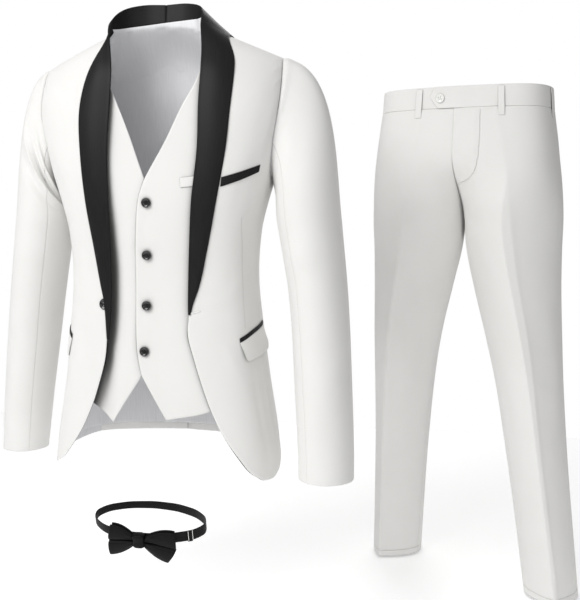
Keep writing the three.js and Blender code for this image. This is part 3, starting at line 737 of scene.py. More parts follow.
def finish(name):
    """A material by its name, made on first use."""
    if name in bpy.data.materials:
        return bpy.data.materials[name]
    colours = bpy.context.scene.tuxedo_colours
    sizes = bpy.context.scene.tuxedo_sizes
    recipes = {
        # the suitings' last two numbers are the reach in metres and the darkest tone of their painted shade
        # where cloth lies close; the vest's copy gets a much deeper painted shade beside the jacket's fronts
        "worsted_suiting": (suiting, colours.wool, colours.wool_shade, sizes, 0.009, 0.6),
        "vest_suiting_with_deep_painted_shade": (suiting, colours.wool, colours.wool_shade, sizes, 0.055, 0.2),
        # the second colour of each satin is its painted sheen, streaked into its colour
        "black_satin_cloth": (satin, colours.satin, "#202020", 0.46, 0.7),
        "black_bow_satin": (satin, "#070707", "#0e0e0f", 0.5, 0.8),
        "grey_satin_lining": (satin, colours.lining, "#e4e4e6", 0.4, 0.7),
        "pale_satin_back": (satin, "#e8e8ea", "#f0f0f2", 0.4, 0.7),
        "black_cast_resin": (resin, "#0d0d0d", "#2a2a2a", 0.16),
        "white_cast_resin": (resin, "#f4f4f1", "#e2e2de", 0.24),
        "white_sewing_thread": (thread, "#f3f2f0"),
        "black_sewing_thread": (thread, "#171717"),
    }
    make, *recipe = recipes[name]
    return make(name, *recipe)


LINED_SUITING = ("worsted_suiting", "grey_satin_lining")


# Pieces on the jacket's body
def body_cloth(name, edges, side, lift, wall, counts, finishes, relief, marks=(), **sewing):
    """A panel on the jacket's body between four edges, which are given for the wearer's left."""
    theta, level = panel_plan(edges, grid_lines(counts[0]), grid_lines(counts[1]))
    face = on_body(side * theta, level, lift + relief(theta, level))
    return cloth_piece(name, face, body_normal(side * theta, level), wall, JACKET_PLACE, finishes,
                       marks=marks_on_body(theta, level, marks), **sewing)


def jacket_front(side, hand):
    """The front of the jacket, with its dart."""
    low = front_edge(side)
    start = low[-1]
    seam = SIDE_SEAM - SEAM_TURN
    hem = hem_at(side)
    edges = {
        "left": [(roll_points(side), 11), (low, 9)],
        "right": [(ARMHOLE_FRONT, 11), ([(seam, UNDERARM), (seam, hem)], 9)],
        "top": [([roll_points(side)[0], (45, 0), (SHOULDER_END, 0)], 8)],
        "bottom": [([start, (74, start[1] - 2), (seam, hem)], 8)],
    }
    return body_cloth(f"front_cloth_{hand}", edges, side, 0, CLOTH, (56, 120), LINED_SUITING, body_relief,
                      [DART], swell=0.3)


def jacket_side(side, hand):
    """The panel under the arm."""
    seam = SIDE_SEAM + SEAM_TURN
    hem = hem_at(side)
    foot, foot_level = BACK_SEAM[-1]
    edges = {
        "left": [([(seam, UNDERARM), (seam, hem)], 9)],
        "right": [([(t - SEAM_TURN, l) for t, l in BACK_SEAM], 9)],
        "top": [(ARMHOLE_UNDER, 5)],
        "bottom": [([(seam, hem), (110, -746), (foot - SEAM_TURN, foot_level)], 5)],
    }
    return body_cloth(f"side_cloth_{hand}", edges, side, 0, CLOTH, (26, 84), LINED_SUITING, body_relief,
                      swell=0.3)


def jacket_back(side, hand):
    """Half of the back. The left half laps over the right one below the top of the vent."""
    centre = 180 - SEAM_TURN
    foot, foot_level = BACK_SEAM[-1]
    overlap = 6.5 if side > 0 else 0
    neck = [(160, 0), (163, -14), (170, -27), (centre, -34)]
    down = [([(centre, -34), (centre, VENT_TOP)], 11)]
    if overlap:
        edge = 180 + overlap
        down.append(([(centre, VENT_TOP), (edge, VENT_TOP - 9)], 1))
        down.append(([(edge, VENT_TOP - 9), (edge, BACK_HEM)], 5))
    else:
        down.append(([(centre, VENT_TOP), (centre, BACK_HEM)], 6))
    edges = {
        "left": [(ARMHOLE_BACK[::-1], 8), ([(t + SEAM_TURN, l) for t, l in BACK_SEAM], 9)],
        "right": down,
        "top": [([(180 - SHOULDER_END, 0), (135, 0), (160, 0)], 4), (neck, 4)],
        "bottom": [([(foot + SEAM_TURN, foot_level), (156, -736), (centre + overlap, BACK_HEM)], 8)],
    }

    def relief(theta, level):
        """Drape, and the step by which the left half lies over the right at the vent."""
        rise = body_relief(theta, level)
        if side > 0:
            rise = rise + 2.4 * smooth((theta - 175) / 4) * smooth((VENT_TOP + 12 - level) / 24)
        return rise

    return body_cloth(f"back_cloth_{hand}", edges, side, 0, CLOTH, (48, 110), LINED_SUITING[:1], relief,
                      swell=0.3)


def lapel_face(side, u, v):
    """The strip of collar and lapel: u runs over the stand, the fold and the fall, v from the centre back."""
    tail = BREAK_LEVEL if side > 0 else BREAK_LEVEL - 44
    feet, folds, falls = [], [], []
    for foot, crease, fall, turn in COLLAR:
        feet.append((side * foot[0] + NECK_SHIFT, foot[1], foot[2]))
        folds.append((side * crease[0] + NECK_SHIFT, crease[1], crease[2]))
        falls.append(tuple(on_body(side * fall[0] + turn, fall[1], LAPEL_FACE)))
    for level in LAPEL_LEVELS + [tail]:
        roll = float(roll_line(level, side)) - 0.2
        outer = roll + 1.2 if level == tail else float(lapel_edge(level, side))
        feet.append(tuple(on_body(side * roll, level, -0.8)))
        folds.append(tuple(on_body(side * roll, level, LAPEL_FACE)))
        falls.append(tuple(on_body(side * outer, level, LAPEL_FACE)))
    foot, crease, fall = (through(line, v * (len(line) - 1))[:, None] for line in (feet, folds, falls))

    def near_fold(line):
        """Points beside the fold, towards its foot or its outer edge."""
        width = np.linalg.norm(line - crease, axis=-1, keepdims=True)
        return mix(crease, line, np.minimum(0.5, FOLD_ROUND / width))

    begin, end = near_fold(foot), near_fold(fall)
    s = u[None, :, None]
    stand_end, fall_start = FOLD_SHARES
    first = mix(foot, begin, np.clip(s / stand_end, 0, 1))
    t = np.clip((s - stand_end) / (fall_start - stand_end), 0, 1)
    turned = (1 - t) ** 2 * begin + 2 * t * (1 - t) * crease + t * t * end
    across = np.clip((s - fall_start) / (1 - fall_start), 0, 1)
    face = np.where(s < stand_end, first, np.where(s < fall_start, turned, mix(end, fall, across)))
    belly = 4 * np.sin(np.pi * across) * smooth((1 - v) * 4)[:, None, None]
    belly = belly * smooth((v - 0.28) * 12)[:, None, None]
    face = face + belly * np.array([side * 0.35, -0.94, 0.0])
    face[v < 1e-9, :, 0] += side * SEAM / 2
    return face


def jacket_lapel(side, hand):
    """Half of the shawl collar with its lapel, seamed at the centre back."""
    stand_end, fall_start = FOLD_SHARES
    u = np.unique(np.round(np.concatenate([
        np.linspace(0, stand_end, 8), np.linspace(stand_end, fall_start, 9), np.linspace(fall_start, 1, 26),
        [0.985, 0.995]]), 6))
    face = lapel_face(side, u, grid_lines(140, (0.002, 0.004)))
    normal = grid_normals(face, np.array([side * 0.2, -1.0, 0.4]))
    return cloth_piece(f"lapel_satin_{hand}", face, normal, LAPEL_CLOTH, JACKET_PLACE,
                       ["black_satin_cloth"], roll=0.5, reach=1.8, swell=0.35)


def jacket_facing(side, hand):
    """The satin inside a front, which shows along the cutaway edge below the button."""
    def peek(level):
        """How many degrees the facing reaches past the front's edge."""
        if side > 0:
            return 0.75 * smooth((-490 - level) / 25) + 0.5 * smooth((-690 - level) / 40)
        return 1.1 * (smooth((-505 - level) / 40) * (1 - 0.6 * smooth((-560 - level) / 70)))

    low = [(t + 0.4 - float(peek(l)), l + 1) for t, l in front_edge(side)]
    inner = [(float(roll_line(l, side)) + 1.2, l) for l in (-330, -400)] + low
    outer = [(float(roll_line(-330, side)) + 15, -330), (35, -480), (38, -600), (50, -700),
             (74, -772 + (0 if side > 0 else HEM_LIFT))]
    edges = {"left": [(inner, 12)], "right": [(outer, 12)], "top": [([inner[0], outer[0]], 3)],
             "bottom": [([inner[-1], outer[-1]], 3)]}
    return body_cloth(f"facing_satin_{hand}", edges, side, -CLOTH - 0.2, LINING, (14, 90),
                      ["black_satin_cloth"], body_relief, reach=1.4, roll=0.3)


def jacket_back_lining():
    """The lining inside the back, below the vest, with its ease fold at the centre."""
    start, stop, top = 76, 360 - 76, -440
    edges = {
        "left": [([(start, top), (start, -752)], 8)],
        "right": [([(stop, top), (stop, -737)], 8)],
        "top": [([(start, top), (stop, top)], 14)],
        "bottom": [([(start, -752), (132, -725), (180, BACK_HEM + 13), (228, -725), (stop, -737)], 14)],
    }

    def relief(theta, level):
        """Loose lining: soft upright waves and the centre fold."""
        wave = 0.5 * np.sin(np.radians(theta * 9)) + 0.35 * np.sin(np.radians(theta * 21 + 40))
        return wave - 1.2 * bell((theta - 186) * DEGREE, 0, 3.0)

    return body_cloth("back_lining", edges, 1, LINING_DEPTH, LINING, (120, 40), ["grey_satin_lining"], relief,
                      [[(186, top), (186, -735)]])


FLAP_CORNER = 11.0
FLAP_STAND = {1: 4.5, -1: 0.6}


def strip_cloth(name, top, bottom, side, lift, wall, counts, material, round_corner=0.0, stand=0.0):
    """A strip between two edge curves on the body: a welt, or a flap with round lower corners.

    stand is how far its lower edge stands off."""
    edges = {"left": [([top[0], bottom[0]], 3)], "right": [([top[-1], bottom[-1]], 3)],
             "top": [(top, 6)], "bottom": [(bottom, 6)]}
    u = grid_lines(counts[0], (0.008, 0.02, 0.05))
    v = grid_lines(counts[1], (0.02, 0.06))
    theta, level = panel_plan(edges, u, v)
    if round_corner:
        length = abs(top[0][0] - top[-1][0]) * DEGREE
        gap = np.minimum(u, 1 - u)[None, :] * length
        inset = np.clip(round_corner - gap, 0, round_corner)
        cut = round_corner - np.sqrt(np.maximum(round_corner**2 - inset**2, 0))
        height = np.abs(level[-1] - level[0])[None, :]
        level = level[:1] + (level - level[:1]) * (1 - cut / height)
    plump = 0.5 * np.sin(np.pi * u)[None, :] ** 0.3 * np.sin(np.pi * v)[:, None] ** 0.5
    rise = lift + plump + body_relief(theta, level) + stand * v[:, None] ** 1.5
    return cloth_piece(name, on_body(side * theta, level, rise), body_normal(side * theta, level), wall,
                       JACKET_PLACE, [material], roll=0.35, reach=1.2, swell=0.2)


ARMHOLE_STRETCH = 3           # millimetres of seam in a degree round the body, for even steps


# Sleeves
def armhole_point(phi, side):
    """Points of the armhole seam at degrees round the arm, from the outer side forwards."""
    flat = np.asarray(phi, float).ravel()
    found = np.zeros((len(flat), 2))
    front = flat <= 180
    found[front] = spaced(scaled(ARMHOLE_FRONT, ARMHOLE_STRETCH), flat[front] / 180)
    found[~front] = spaced(scaled(ARMHOLE_UNDER + ARMHOLE_BACK[1:], ARMHOLE_STRETCH),
                           (flat[~front] - 180) / 180)
    point = on_body(side * found[:, 0] / ARMHOLE_STRETCH, found[:, 1], 0)
    inward = np.array([side * 205, 0, -150]) - point
    inward[:, 0] = 0
    point = point + unit(inward) * 0.7
    point[:, 0] += side * SEAM / 2
    return point.reshape(np.shape(phi) + (3,))


def sleeve_ring(phi, z, side):
    """Points of the arm below the cap."""
    _, x, y, width, depth = read_table(SLEEVE[side], z)
    turn = np.radians(phi)
    return np.stack([side * (x + width * np.cos(turn)), y - depth * np.sin(turn), z + 0 * turn], axis=-1)


def sleeve_face(phi, t, side):
    """Points of the sleeve: phi is degrees round the arm, t runs from the armhole to the cuff."""
    phi, t = np.broadcast_arrays(np.asarray(phi, float) % 360, np.asarray(t, float))
    cuff, top = float(SLEEVE[side][0][0]), float(SLEEVE[side][-1][0])
    arm = sleeve_ring(phi, mix(top, cuff, np.clip((t - CAP_SHARE) / (1 - CAP_SHARE), 0, 1)), side)
    start = armhole_point(phi, side)
    end = sleeve_ring(phi, np.full(phi.shape, top), side)
    span = np.linalg.norm(end - start, axis=-1, keepdims=True)
    out = (1 + np.cos(np.radians(phi))) / 2
    reach = 0.33 + 0.64 * out if side > 0 else 0.28 + 0.38 * out
    leave = np.stack([side * reach, 0 * out, -0.12 - 0.73 * (1 - out)], axis=-1) * span
    arrive = np.array([side * 0.12, 0.0, -1.0]) * span
    cap = hermite(start, leave, end, arrive, np.clip(t / CAP_SHARE, 0, 1)[..., None])
    return np.where((t >= CAP_SHARE)[..., None], arm, cap)


# folds of each sleeve: path in (degrees round the arm, millimetres from the armhole), width, height
SLEEVE_FOLDS = {
    1: [
        ([(95, 40), (100, 110), (120, 190)], 12, 1.6),
        ([(60, 330), (110, 350), (150, 335)], 15, 1.4),
        ([(70, 395), (120, 380), (160, 390)], 17, -1.2),
        ([(-60, 300), (-100, 340), (-150, 350)], 16, 1.6),
        ([(10, 470), (60, 520), (110, 540)], 22, 1.2),
    ],
    -1: [
        ([(38, 95), (54, 114), (84, 136), (112, 162), (172, 221)], 8, 5.5),
        ([(72, 92), (100, 116), (130, 146), (168, 198)], 6, -4.0),
        ([(86, 50), (111, 67), (142, 105), (176, 172)], 7, 4.5),
        ([(44, 152), (84, 176), (112, 204), (156, 246)], 13, -3.5),
        ([(60, 330), (110, 350), (150, 335)], 15, 1.4),
        ([(-60, 300), (-100, 340), (-150, 350)], 16, 1.6),
    ],
}
ARM_DEGREE = 0.95             # millimetres of cloth in a degree round the arm
ARM_LENGTH = 690


def sleeve_cloth(name, side, start, stop, count):
    """The top or under panel of a sleeve, between two of its lengthwise seams."""
    share, t = np.meshgrid(grid_lines(count, (0.006, 0.02)), grid_lines(130, (0.002, 0.0045, 0.008, 0.014)))
    phi = mix(start + SLEEVE_GAP, stop - SLEEVE_GAP, share)
    face = sleeve_face(phi, t, side)
    outward = face - sleeve_face(phi + 180, t, side)
    around = ((phi + 180) % 360 - 180) * ARM_DEGREE
    rise = with_folds(np.zeros(phi.shape), around, t * ARM_LENGTH, SLEEVE_FOLDS[side], ARM_DEGREE)
    head = 1.4 * bell(t * ARM_LENGTH, 9, 7) * (np.cos(np.radians(phi)) > 0)
    face = face + grid_normals(face, outward) * (rise + head)[..., None]
    return cloth_piece(name, face, grid_normals(face, outward), CLOTH, JACKET_PLACE, LINED_SUITING, roll=0.2,
                       reach=1.4, swell=0.25)


# Vest
VEST_SIDE = 92
VEST_ARMHOLE = [(44, 0), (50, -90), (57, -170), (72, -245), (VEST_SIDE, VEST_UNDERARM)]
VEST_HEM = -578
VEST_UNDERLAP = 4.2           # degrees by which the right front runs on under the left
# the edge by which the left front laps over the right
VEST_LAP = [(-1, -264), (-4, -300), (-6.6, -380), (-7, -464), (-6, -548), (-3.8, -591)]
# degrees, level and lift of each button
VEST_BUTTONS = [(-0.2, -303, 0.0), (-1, -390, 1.0), (-1.5, -474, 1.3), (-2.4, -551, 0.8)]
BUTTON_SEAT = 0.9             # how far a button's back stands off the vest
# degrees from the centre front, level and lift of the jacket's button
JACKET_BUTTON = (-23.4, -473, -1.7)


def vest_front(side, hand):
    """A front of the vest. The left one laps over the right one, which runs on under it."""
    if side > 0:
        lap = VEST_LAP
        neck = [(21, 0), (19.5, -60), (17, -116), (12.6, -152), (6.6, -206), lap[0]]
    else:
        lap = [(0.35 - t - VEST_UNDERLAP * float(smooth((-262 - l) / 12)), max(l, -569)) for t, l in VEST_LAP]
        neck = [(20, 0), (18.5, -60), (16, -114), (12.8, -142), (7, -196), lap[0]]
    point = (7, -666) if side > 0 else (17, -674)
    seam = VEST_SIDE - SEAM_TURN
    edges = {
        "left": [(neck, 8), (lap, 6)],
        "right": [(VEST_ARMHOLE, 8), ([(seam, VEST_UNDERARM), (seam, VEST_HEM)], 6)],
        "top": [([neck[0], VEST_ARMHOLE[0]], 8)],
        "bottom": [([lap[-1], point], 2), ([point, (28, -650), (60, -608), (seam, VEST_HEM)], 6)],
    }

    def relief(theta, level):
        """The left front stands a little proud at its edge, and the right one sinks under it."""
        edge_t = np.interp(level, [l for _, l in VEST_LAP][::-1], [t for t, _ in VEST_LAP][::-1])
        below = smooth((-250 - level) / 20)
        waist = 1.1 * np.sin(np.radians(level * 1.1 + theta * 3)) * smooth((-420 - level) / 80)
        if side > 0:
            return 0.7 * (1 - smooth((theta - edge_t) / 4)) * below + waist
        sunk = smooth((-theta - edge_t + 0.4) / 1.2 + 1)
        hollow = 13.0 * smooth((theta - 12) / 12) * smooth((-230 - level) / 200)
        return waist * (1 - sunk) - 1.9 * sunk * below - hollow

    return body_cloth(f"vest_cloth_{hand}", edges, side, VEST_DEPTH, CLOTH, (56, 96),
                      ("vest_suiting_with_deep_painted_shade", "grey_satin_lining"), relief,
                      [[(55, -330), (58, -420), (58, -575)]], swell=0.3)


def vest_back():
    """The satin back of the vest, whose inner face shows in the neck, with its upright folds."""
    seam = VEST_SIDE + SEAM_TURN
    left = [(180 - t, l) for t, l in VEST_ARMHOLE][:4] + [(seam, VEST_UNDERARM)]
    down = [(seam, VEST_UNDERARM), (seam, VEST_HEM)]
    neck = [(158, -2), (164, -22), (172, -38), (181, -44), (191, -40), (201, -27), (210, -2)]
    edges = {
        "left": [(left, 6), (down, 5)],
        "right": [([(360 - t, l) for t, l in left], 6), ([(360 - t, l) for t, l in down], 5)],
        "top": [([(136, 0), neck[0]], 4), (neck, 8), ([neck[-1], (224, 0)], 4)],
        "bottom": [([down[1], (180, VEST_HEM - 12), (360 - seam, VEST_HEM)], 16)],
    }

    def relief(theta, level):
        """Upright folds that hang from the neck and spread as they fall."""
        x = (theta - 180) * DEGREE / (1 + 0.5 * smooth(-level / 400))
        folds = 2.6 * bell(x, 6, 7) - 2.2 * bell(x, -9, 8) + 1.6 * bell(x, -30, 11) - 1.5 * bell(x, 27, 10)
        return folds * smooth((-100 - level) / 80)

    return body_cloth("vest_back_satin", edges, 1, VEST_DEPTH, LINING, (110, 100), ["pale_satin_back"],
                      relief, [[(180, -24), (180, VEST_HEM - 12)]])


# how far up the collar's stand the vest's neck reaches, and where it leaves the back, from the centre out
NECK_REACH = {-1: (0.07, 0.04, 0.07, 0.17, 0.56), 1: (0.07, 0.19, 0.34, 0.58)}
NECK_FOOT = {-1: (182, 190, 199, 206, 212), 1: (182, 174, 170, 168)}
NECK_LEVEL = -98
NECK_DEPTH = VEST_DEPTH + 0.3
NECK_RISE = 42                # how stiffly it leaves the back
# the step from its first and last line to one more, which lies hidden under a lapel
NECK_TUCKS = ((-1.0, -6.0, -7.0), (9.0, -8.0, 1.0))


def vest_neck():
    """The neck of the vest's back, drawn up inside the collar's stand, with small puckers at its seam."""
    tops, stands, turns, feet = [], [], [], []
    for side, order in ((-1, (4, 3, 2, 1, 0)), (1, (1, 2, 3))):
        for k in order:
            foot, crease = (np.array(point, float) for point in COLLAR[k][:2])
            inward = unit(np.array([-side * foot[0], -5 - foot[1], 0.0]))
            shift = np.array([NECK_SHIFT, 0, 0])
            share = NECK_REACH[side][k]
            lean = 0.4 if k == 4 else 1.8 + 3.5 * share
            tops.append(mix(foot, crease, share) * [side, 1, 1] + shift + lean * inward)
            stands.append(foot * [side, 1, 1] + shift + 1.5 * inward - [0, 0, 1.5])
            centre = NECK_FOOT[side][k]
            below, above = (on_body(centre, NECK_LEVEL + step, NECK_DEPTH) for step in (0, 2))
            feet.append(below)
            turns.append(below + NECK_RISE * unit(above - below))
    for rows in (tops, stands, turns, feet):
        rows.insert(0, rows[0] + np.array(NECK_TUCKS[0]))
        rows.append(rows[-1] + np.array(NECK_TUCKS[1]))
    u = grid_lines(110, (0.01,))
    v = grid_lines(44, (0.01, 0.03))[:, None]
    top, stand, turn, foot = (through([tuple(row) for row in rows], u * (len(rows) - 1))[None]
                              for rows in (tops, stands, turns, feet))
    seam = 0.2
    t = np.clip((v - seam) / (1 - seam), 0, 1)
    a = t[:, :, None]
    start = stand - np.array([0.0, 0.0, 9.0])
    lower = (1 - a) ** 3 * stand + 3 * a * (1 - a) ** 2 * start + 3 * a**2 * (1 - a) * turn + a**3 * foot
    upper = mix(top, stand, np.clip(v / seam, 0, 1)[:, :, None])
    face = np.where(v[:, :, None] < seam, upper, lower)
    normal = grid_normals(face, np.array([0.0, 1.0, 0.4]))
    puckers = (0.5 * np.sin(u * 61) + 0.4 * np.sin(u * 37 + 1))[None, :] * bell(v, 0.34, 0.1)
    centre_fold = 1.4 * bell(u, 0.5, 0.02)[None, :] * t * (1 - t)
    face = face + normal * (puckers - centre_fold)[..., None]
    return cloth_piece("vest_neck_satin", face, normal, LINING, JACKET_PLACE, ["pale_satin_back"], roll=0.4,
                       reach=1.2)


# Trousers
def pelvis_face(phi, z):
    """Points of the hips; phi is degrees from the centre front."""
    phi, z = np.broadcast_arrays(np.asarray(phi, float), np.asarray(z, float))
    _, width, front, back = read_table(PELVIS, z)
    s = np.sin(np.radians(phi))
    c = np.cos(np.radians(phi))
    y = -np.where(c > 0, front, back) * c * (1 + SQUARENESS * s * s)
    return np.stack([width * s * (1 + SQUARENESS * c * c), y, z], axis=-1)


def pelvis_normal(phi, z):
    """The level outward direction of the hips."""
    du = pelvis_face(phi + 0.5, z) - pelvis_face(phi - 0.5, z)
    return unit(np.stack([du[..., 1], -du[..., 0], 0 * du[..., 0]], axis=-1))


def trouser_face(across, z, side, face):
    """Points of a leg and its share of the hips: across runs from the inner to the side seam."""
    across, z = np.broadcast_arrays(np.asarray(across, float), np.asarray(z, float))
    _, width, depth, step, toe, left, right = read_table(LEG, z)
    centre = left if side > 0 else right
    turn = np.pi * across
    pointed = 1 - np.abs(np.cos(turn))
    y = face * (depth * mix(np.sin(turn), pointed, CREASE) + SEAM / 2)
    x = -width * np.cos(turn)
    out = np.radians(toe)
    leg = np.stack([centre + x * np.cos(out) - y * np.sin(out),
                    x * np.sin(out) + y * np.cos(out) - side * step, z], axis=-1)
    phi = 90 * across**1.6
    hips = pelvis_face(phi if face < 0 else 180 - phi, z)
    hips = hips + np.array([SEAM / 2, face * SEAM / 2, 0.0])
    point = mix(hips, leg, smooth((CROTCH + RISE_BLEND - z) / RISE_BLEND)[..., None])
    return point * np.array([side, 1, 1])


LEG_WIDTH = 265               # millimetres of cloth from the inner to the side seam of a panel
LEG_HEM = LEG[0][0]
HEM_DENT = 14
HEM_STITCHES = 15
STITCH_LIFT = 0.15
# sewn lines of the trousers in (share of the panel's width, z)
FLY_STITCH = [(0.31, -46), (0.305, -105), (0.285, -156), (0.245, -175), (0.18, -184), (0.09, -188),
              (0.0, -190)]
WELT_POCKET = [(0.36, -108), (0.78, -104)]
BACK_DART = [(0.55, -44), (0.56, -104)]
# where each leg's pressed crease runs on the front
CREASE_LINE = {
    1: [(-1006, 0.53), (-652, 0.535), (-533, 0.55), (-375, 0.55), (-260, 0.55), (-145, 0.475), (-46, 0.42)],
    -1: [(-1006, 0.48), (-693, 0.525), (-434, 0.51), (-253, 0.50), (-151, 0.405), (-77, 0.365), (-46, 0.35)],
}
TROUSER_FOLDS = {
    (1, -1): [([(0.1, -250), (0.3, -300), (0.42, -380)], 16, 1.8),
              ([(0.75, -420), (0.8, -560), (0.72, -700)], 22, 1.8),
              ([(0.2, -520), (0.25, -640), (0.2, -780)], 20, -1.4),
              ([(0.7, -900), (0.55, -950), (0.4, -985)], 16, 1.3)],
    (-1, -1): [([(0.1, -240), (0.3, -280), (0.45, -350)], 16, 1.8),
               ([(0.72, -430), (0.76, -580), (0.7, -720)], 22, 1.6),
               ([(0.25, -470), (0.22, -600), (0.25, -760)], 20, -1.4),
               ([(0.3, -890), (0.5, -940), (0.75, -960)], 16, 1.3)],
    (1, 1): [([(0.1, -280), (0.4, -330), (0.7, -350)], 20, 2.2),
             ([(0.3, -560), (0.32, -680), (0.3, -800)], 24, 1.6)],
    (-1, 1): [([(0.1, -285), (0.4, -335), (0.7, -355)], 20, 2.2),
              ([(0.3, -540), (0.32, -660), (0.3, -780)], 24, 1.6)],
}


def trouser_relief(across, z, side, face):
    """The pressed crease and the soft folds of a trouser panel, and the fly's lap on the left front."""
    crease = 0.5 if face > 0 else read_table(CREASE_LINE[side], z)[1]
    gap = (across - crease) * LEG_WIDTH
    pressed = mix(1.1, 2.4, smooth((-170 - z) / 160))
    rise = with_folds(pressed * np.exp(-np.sqrt(gap * gap + 1) / 7), across * LEG_WIDTH, z,
                      TROUSER_FOLDS[(side, face)], LEG_WIDTH)
    if face < 0 and side > 0:
        rise = rise + 0.8 * (smooth((0.30 - across) / 0.03) * smooth((z + 200) / 24))
    return rise


def path_distance(shape, across, z, path, side, face):
    """Signed distance over the cloth to a path given in shares of the panel's width and heights."""
    spots = spaced(path, np.linspace(0, 1, 90))
    gap = np.full(across.shape, FAR)
    for point in trouser_face(np.clip(spots[:, 0], 0, 1), spots[:, 1], side, face):
        gap = np.minimum(gap, np.linalg.norm(shape - point, axis=-1))
    signed = sewn_distance(across * LEG_WIDTH, z, scaled(path, LEG_WIDTH))
    return np.where(signed == FAR, FAR, gap * np.sign(signed))


def trouser_cloth(side, hand, face):
    """The front or back panel of a leg."""
    across, v = np.meshgrid(grid_lines(110, (0.004,)), grid_lines(150, (0.001, 0.003)))
    z = mix(-WAISTBAND - SEAM, LEG_HEM, v**1.25)
    plain = trouser_face(across, z, side, face)
    outward = np.array([0.15 * side, float(face), 0.0])
    relief = trouser_relief(across, z, side, face)[..., None]
    shape = plain + grid_normals(plain, outward) * relief
    hem = [(-0.1, LEG_HEM + HEM_DENT), (1.1, LEG_HEM + HEM_DENT)]
    if face < 0:
        paths = [hem] + ([FLY_STITCH] if side > 0 else [])
    else:
        paths = [WELT_POCKET, hem, BACK_DART]
    marks = layered([path_distance(shape, across, z, path, side, face) for path in paths], across.shape)
    name = f"trouser_{'front' if face < 0 else 'back'}_cloth_{hand}"
    return cloth_piece(name, shape, grid_normals(shape, outward), TROUSER_CLOTH, TROUSER_PLACE,
                       LINED_SUITING[:1], marks=marks, swell=0.2)


def hip_cloth(name, phi, z, lift, wall, roll=0.4, reach=1.6):
    """A piece that lies on the hips, from grids of degrees, heights and lifts."""
    normal = pelvis_normal(phi, z)
    face = pelvis_face(phi, z) + normal * lift[..., None]
    return cloth_piece(name, face, normal, wall, TROUSER_PLACE, LINED_SUITING[:1], roll=roll, reach=reach,
                       swell=0.25)


TAB_POINT = -13.4             # degrees from the centre front
WAIST_BUTTON = (-7.4, -23.0)  # degrees and height on the hips
WAIST_BUTTON_LIFT = 3.1
TAB_SLOPE = 13.2              # degrees over which the point widens


def waistband(side, hand):
    """Half of the waistband. The left half ends in the pointed tab that buttons over to the right."""
    if side > 0:
        ahead = np.concatenate([TAB_POINT + np.array([0.05, 0.2]), np.linspace(TAB_POINT, 8, 64),
                                [TAB_POINT + TAB_SLOPE / 5, TAB_POINT + TAB_SLOPE / 2.6]])
        line = np.unique(np.concatenate([ahead, np.linspace(8, 179.94, 90)]))
        share = np.clip((line - TAB_POINT) / TAB_SLOPE, 0, 1)
    else:
        line = mix(180.06, 359.94, grid_lines(90, (0.001, 0.003)))
        share = np.ones(len(line))
    high = mix(-19.6, 0.0, np.clip(share * 5, 0, 1))
    low = mix(-20.4, -float(WAISTBAND), np.clip(share * 2.6, 0, 1))
    phi, v = np.meshgrid(line, grid_lines(14, (0.02, 0.06)))
    lift = 0.35 * np.sin(np.pi * v) + 0.25 * np.sin(np.radians(phi * 11)) * v
    if side > 0:
        lift = lift + 2.5 * (1 - smooth((phi - 0.5) / 10))
    return hip_cloth(f"waistband_cloth_{hand}", phi, mix(high, low, v), lift, 2.0)


BELT_LOOPS = {"front_left": 26, "front_right": -20, "side_left": 82, "side_right": -82, "back_left": 150,
              "back_right": 210, "centre_back": 180}


def belt_loop(name, centre):
    """A belt loop: a folded strip, sewn down at both ends and standing off the band between."""
    u, v = np.meshgrid(grid_lines(8, (0.03, 0.08)), grid_lines(26, (0.01, 0.03, 0.06)))
    lift = 2.1 + 1.1 * np.sin(np.pi * np.clip((v - 0.08) / 0.8, 0, 1)) ** 0.6
    return hip_cloth(f"loop_cloth_{name}", centre + mix(-1.9, 1.9, u), mix(-3.0, -59.0, v), lift, 1.4,
                     roll=0.45, reach=1.0)


# Bow tie
# turn in degrees, reach at the top, the middle and the bottom of the outer edge, half height there
BOW_WINGS = {1: (13, 62, 68, 58, 32.6), -1: (-4, 49, 57, 60, 31.3)}
WING_ROOT = 9.5
BOW_FACE = 7
BACK_FACE = 3.6


def band_point(phi, z, lift):
    """Points of the band that goes round the neck; it hangs a little lower to the left and behind."""
    turn = np.radians(phi)
    drop = 5 * np.sin(turn) + 2.2 * (1 - np.cos(turn))
    return np.stack([(BAND_HALF[0] + lift) * np.sin(turn), -(BAND_HALF[1] + lift) * np.cos(turn),
                     z - drop + 0 * turn], axis=-1)


def on_band(name, phi, z, rise, wall, material, **sewing):
    """A piece that lies on the band, from grids of degrees, heights and lifts."""
    face = band_point(phi, z, rise)
    normal = unit(band_point(phi, z, rise + 1) - face)
    return cloth_piece(name, face, normal, wall, BOW_PLACE, [material], **sewing)


def band_piece(name, low, high, counts, lift, wall, height, roll=0.3):
    """A stretch of the band, or what is threaded on it."""
    u, v = np.meshgrid(grid_lines(counts[0], (0.002, 0.006)), grid_lines(counts[1], (0.02, 0.06)))
    phi = mix(low, high, u)
    turn = np.radians(phi)
    tall = height + 2.4 * np.sin(turn) - 1.6 * (1 - np.cos(turn))
    rise = lift + 0.25 * np.sin(14 * turn) * (wall < 2)
    return on_band(name, phi, tall * mix(0.5, -0.5, v) + 0.5 * np.sin(3 * turn), rise, wall,
                   "black_bow_satin", roll=roll, reach=1.2, swell=0.25)


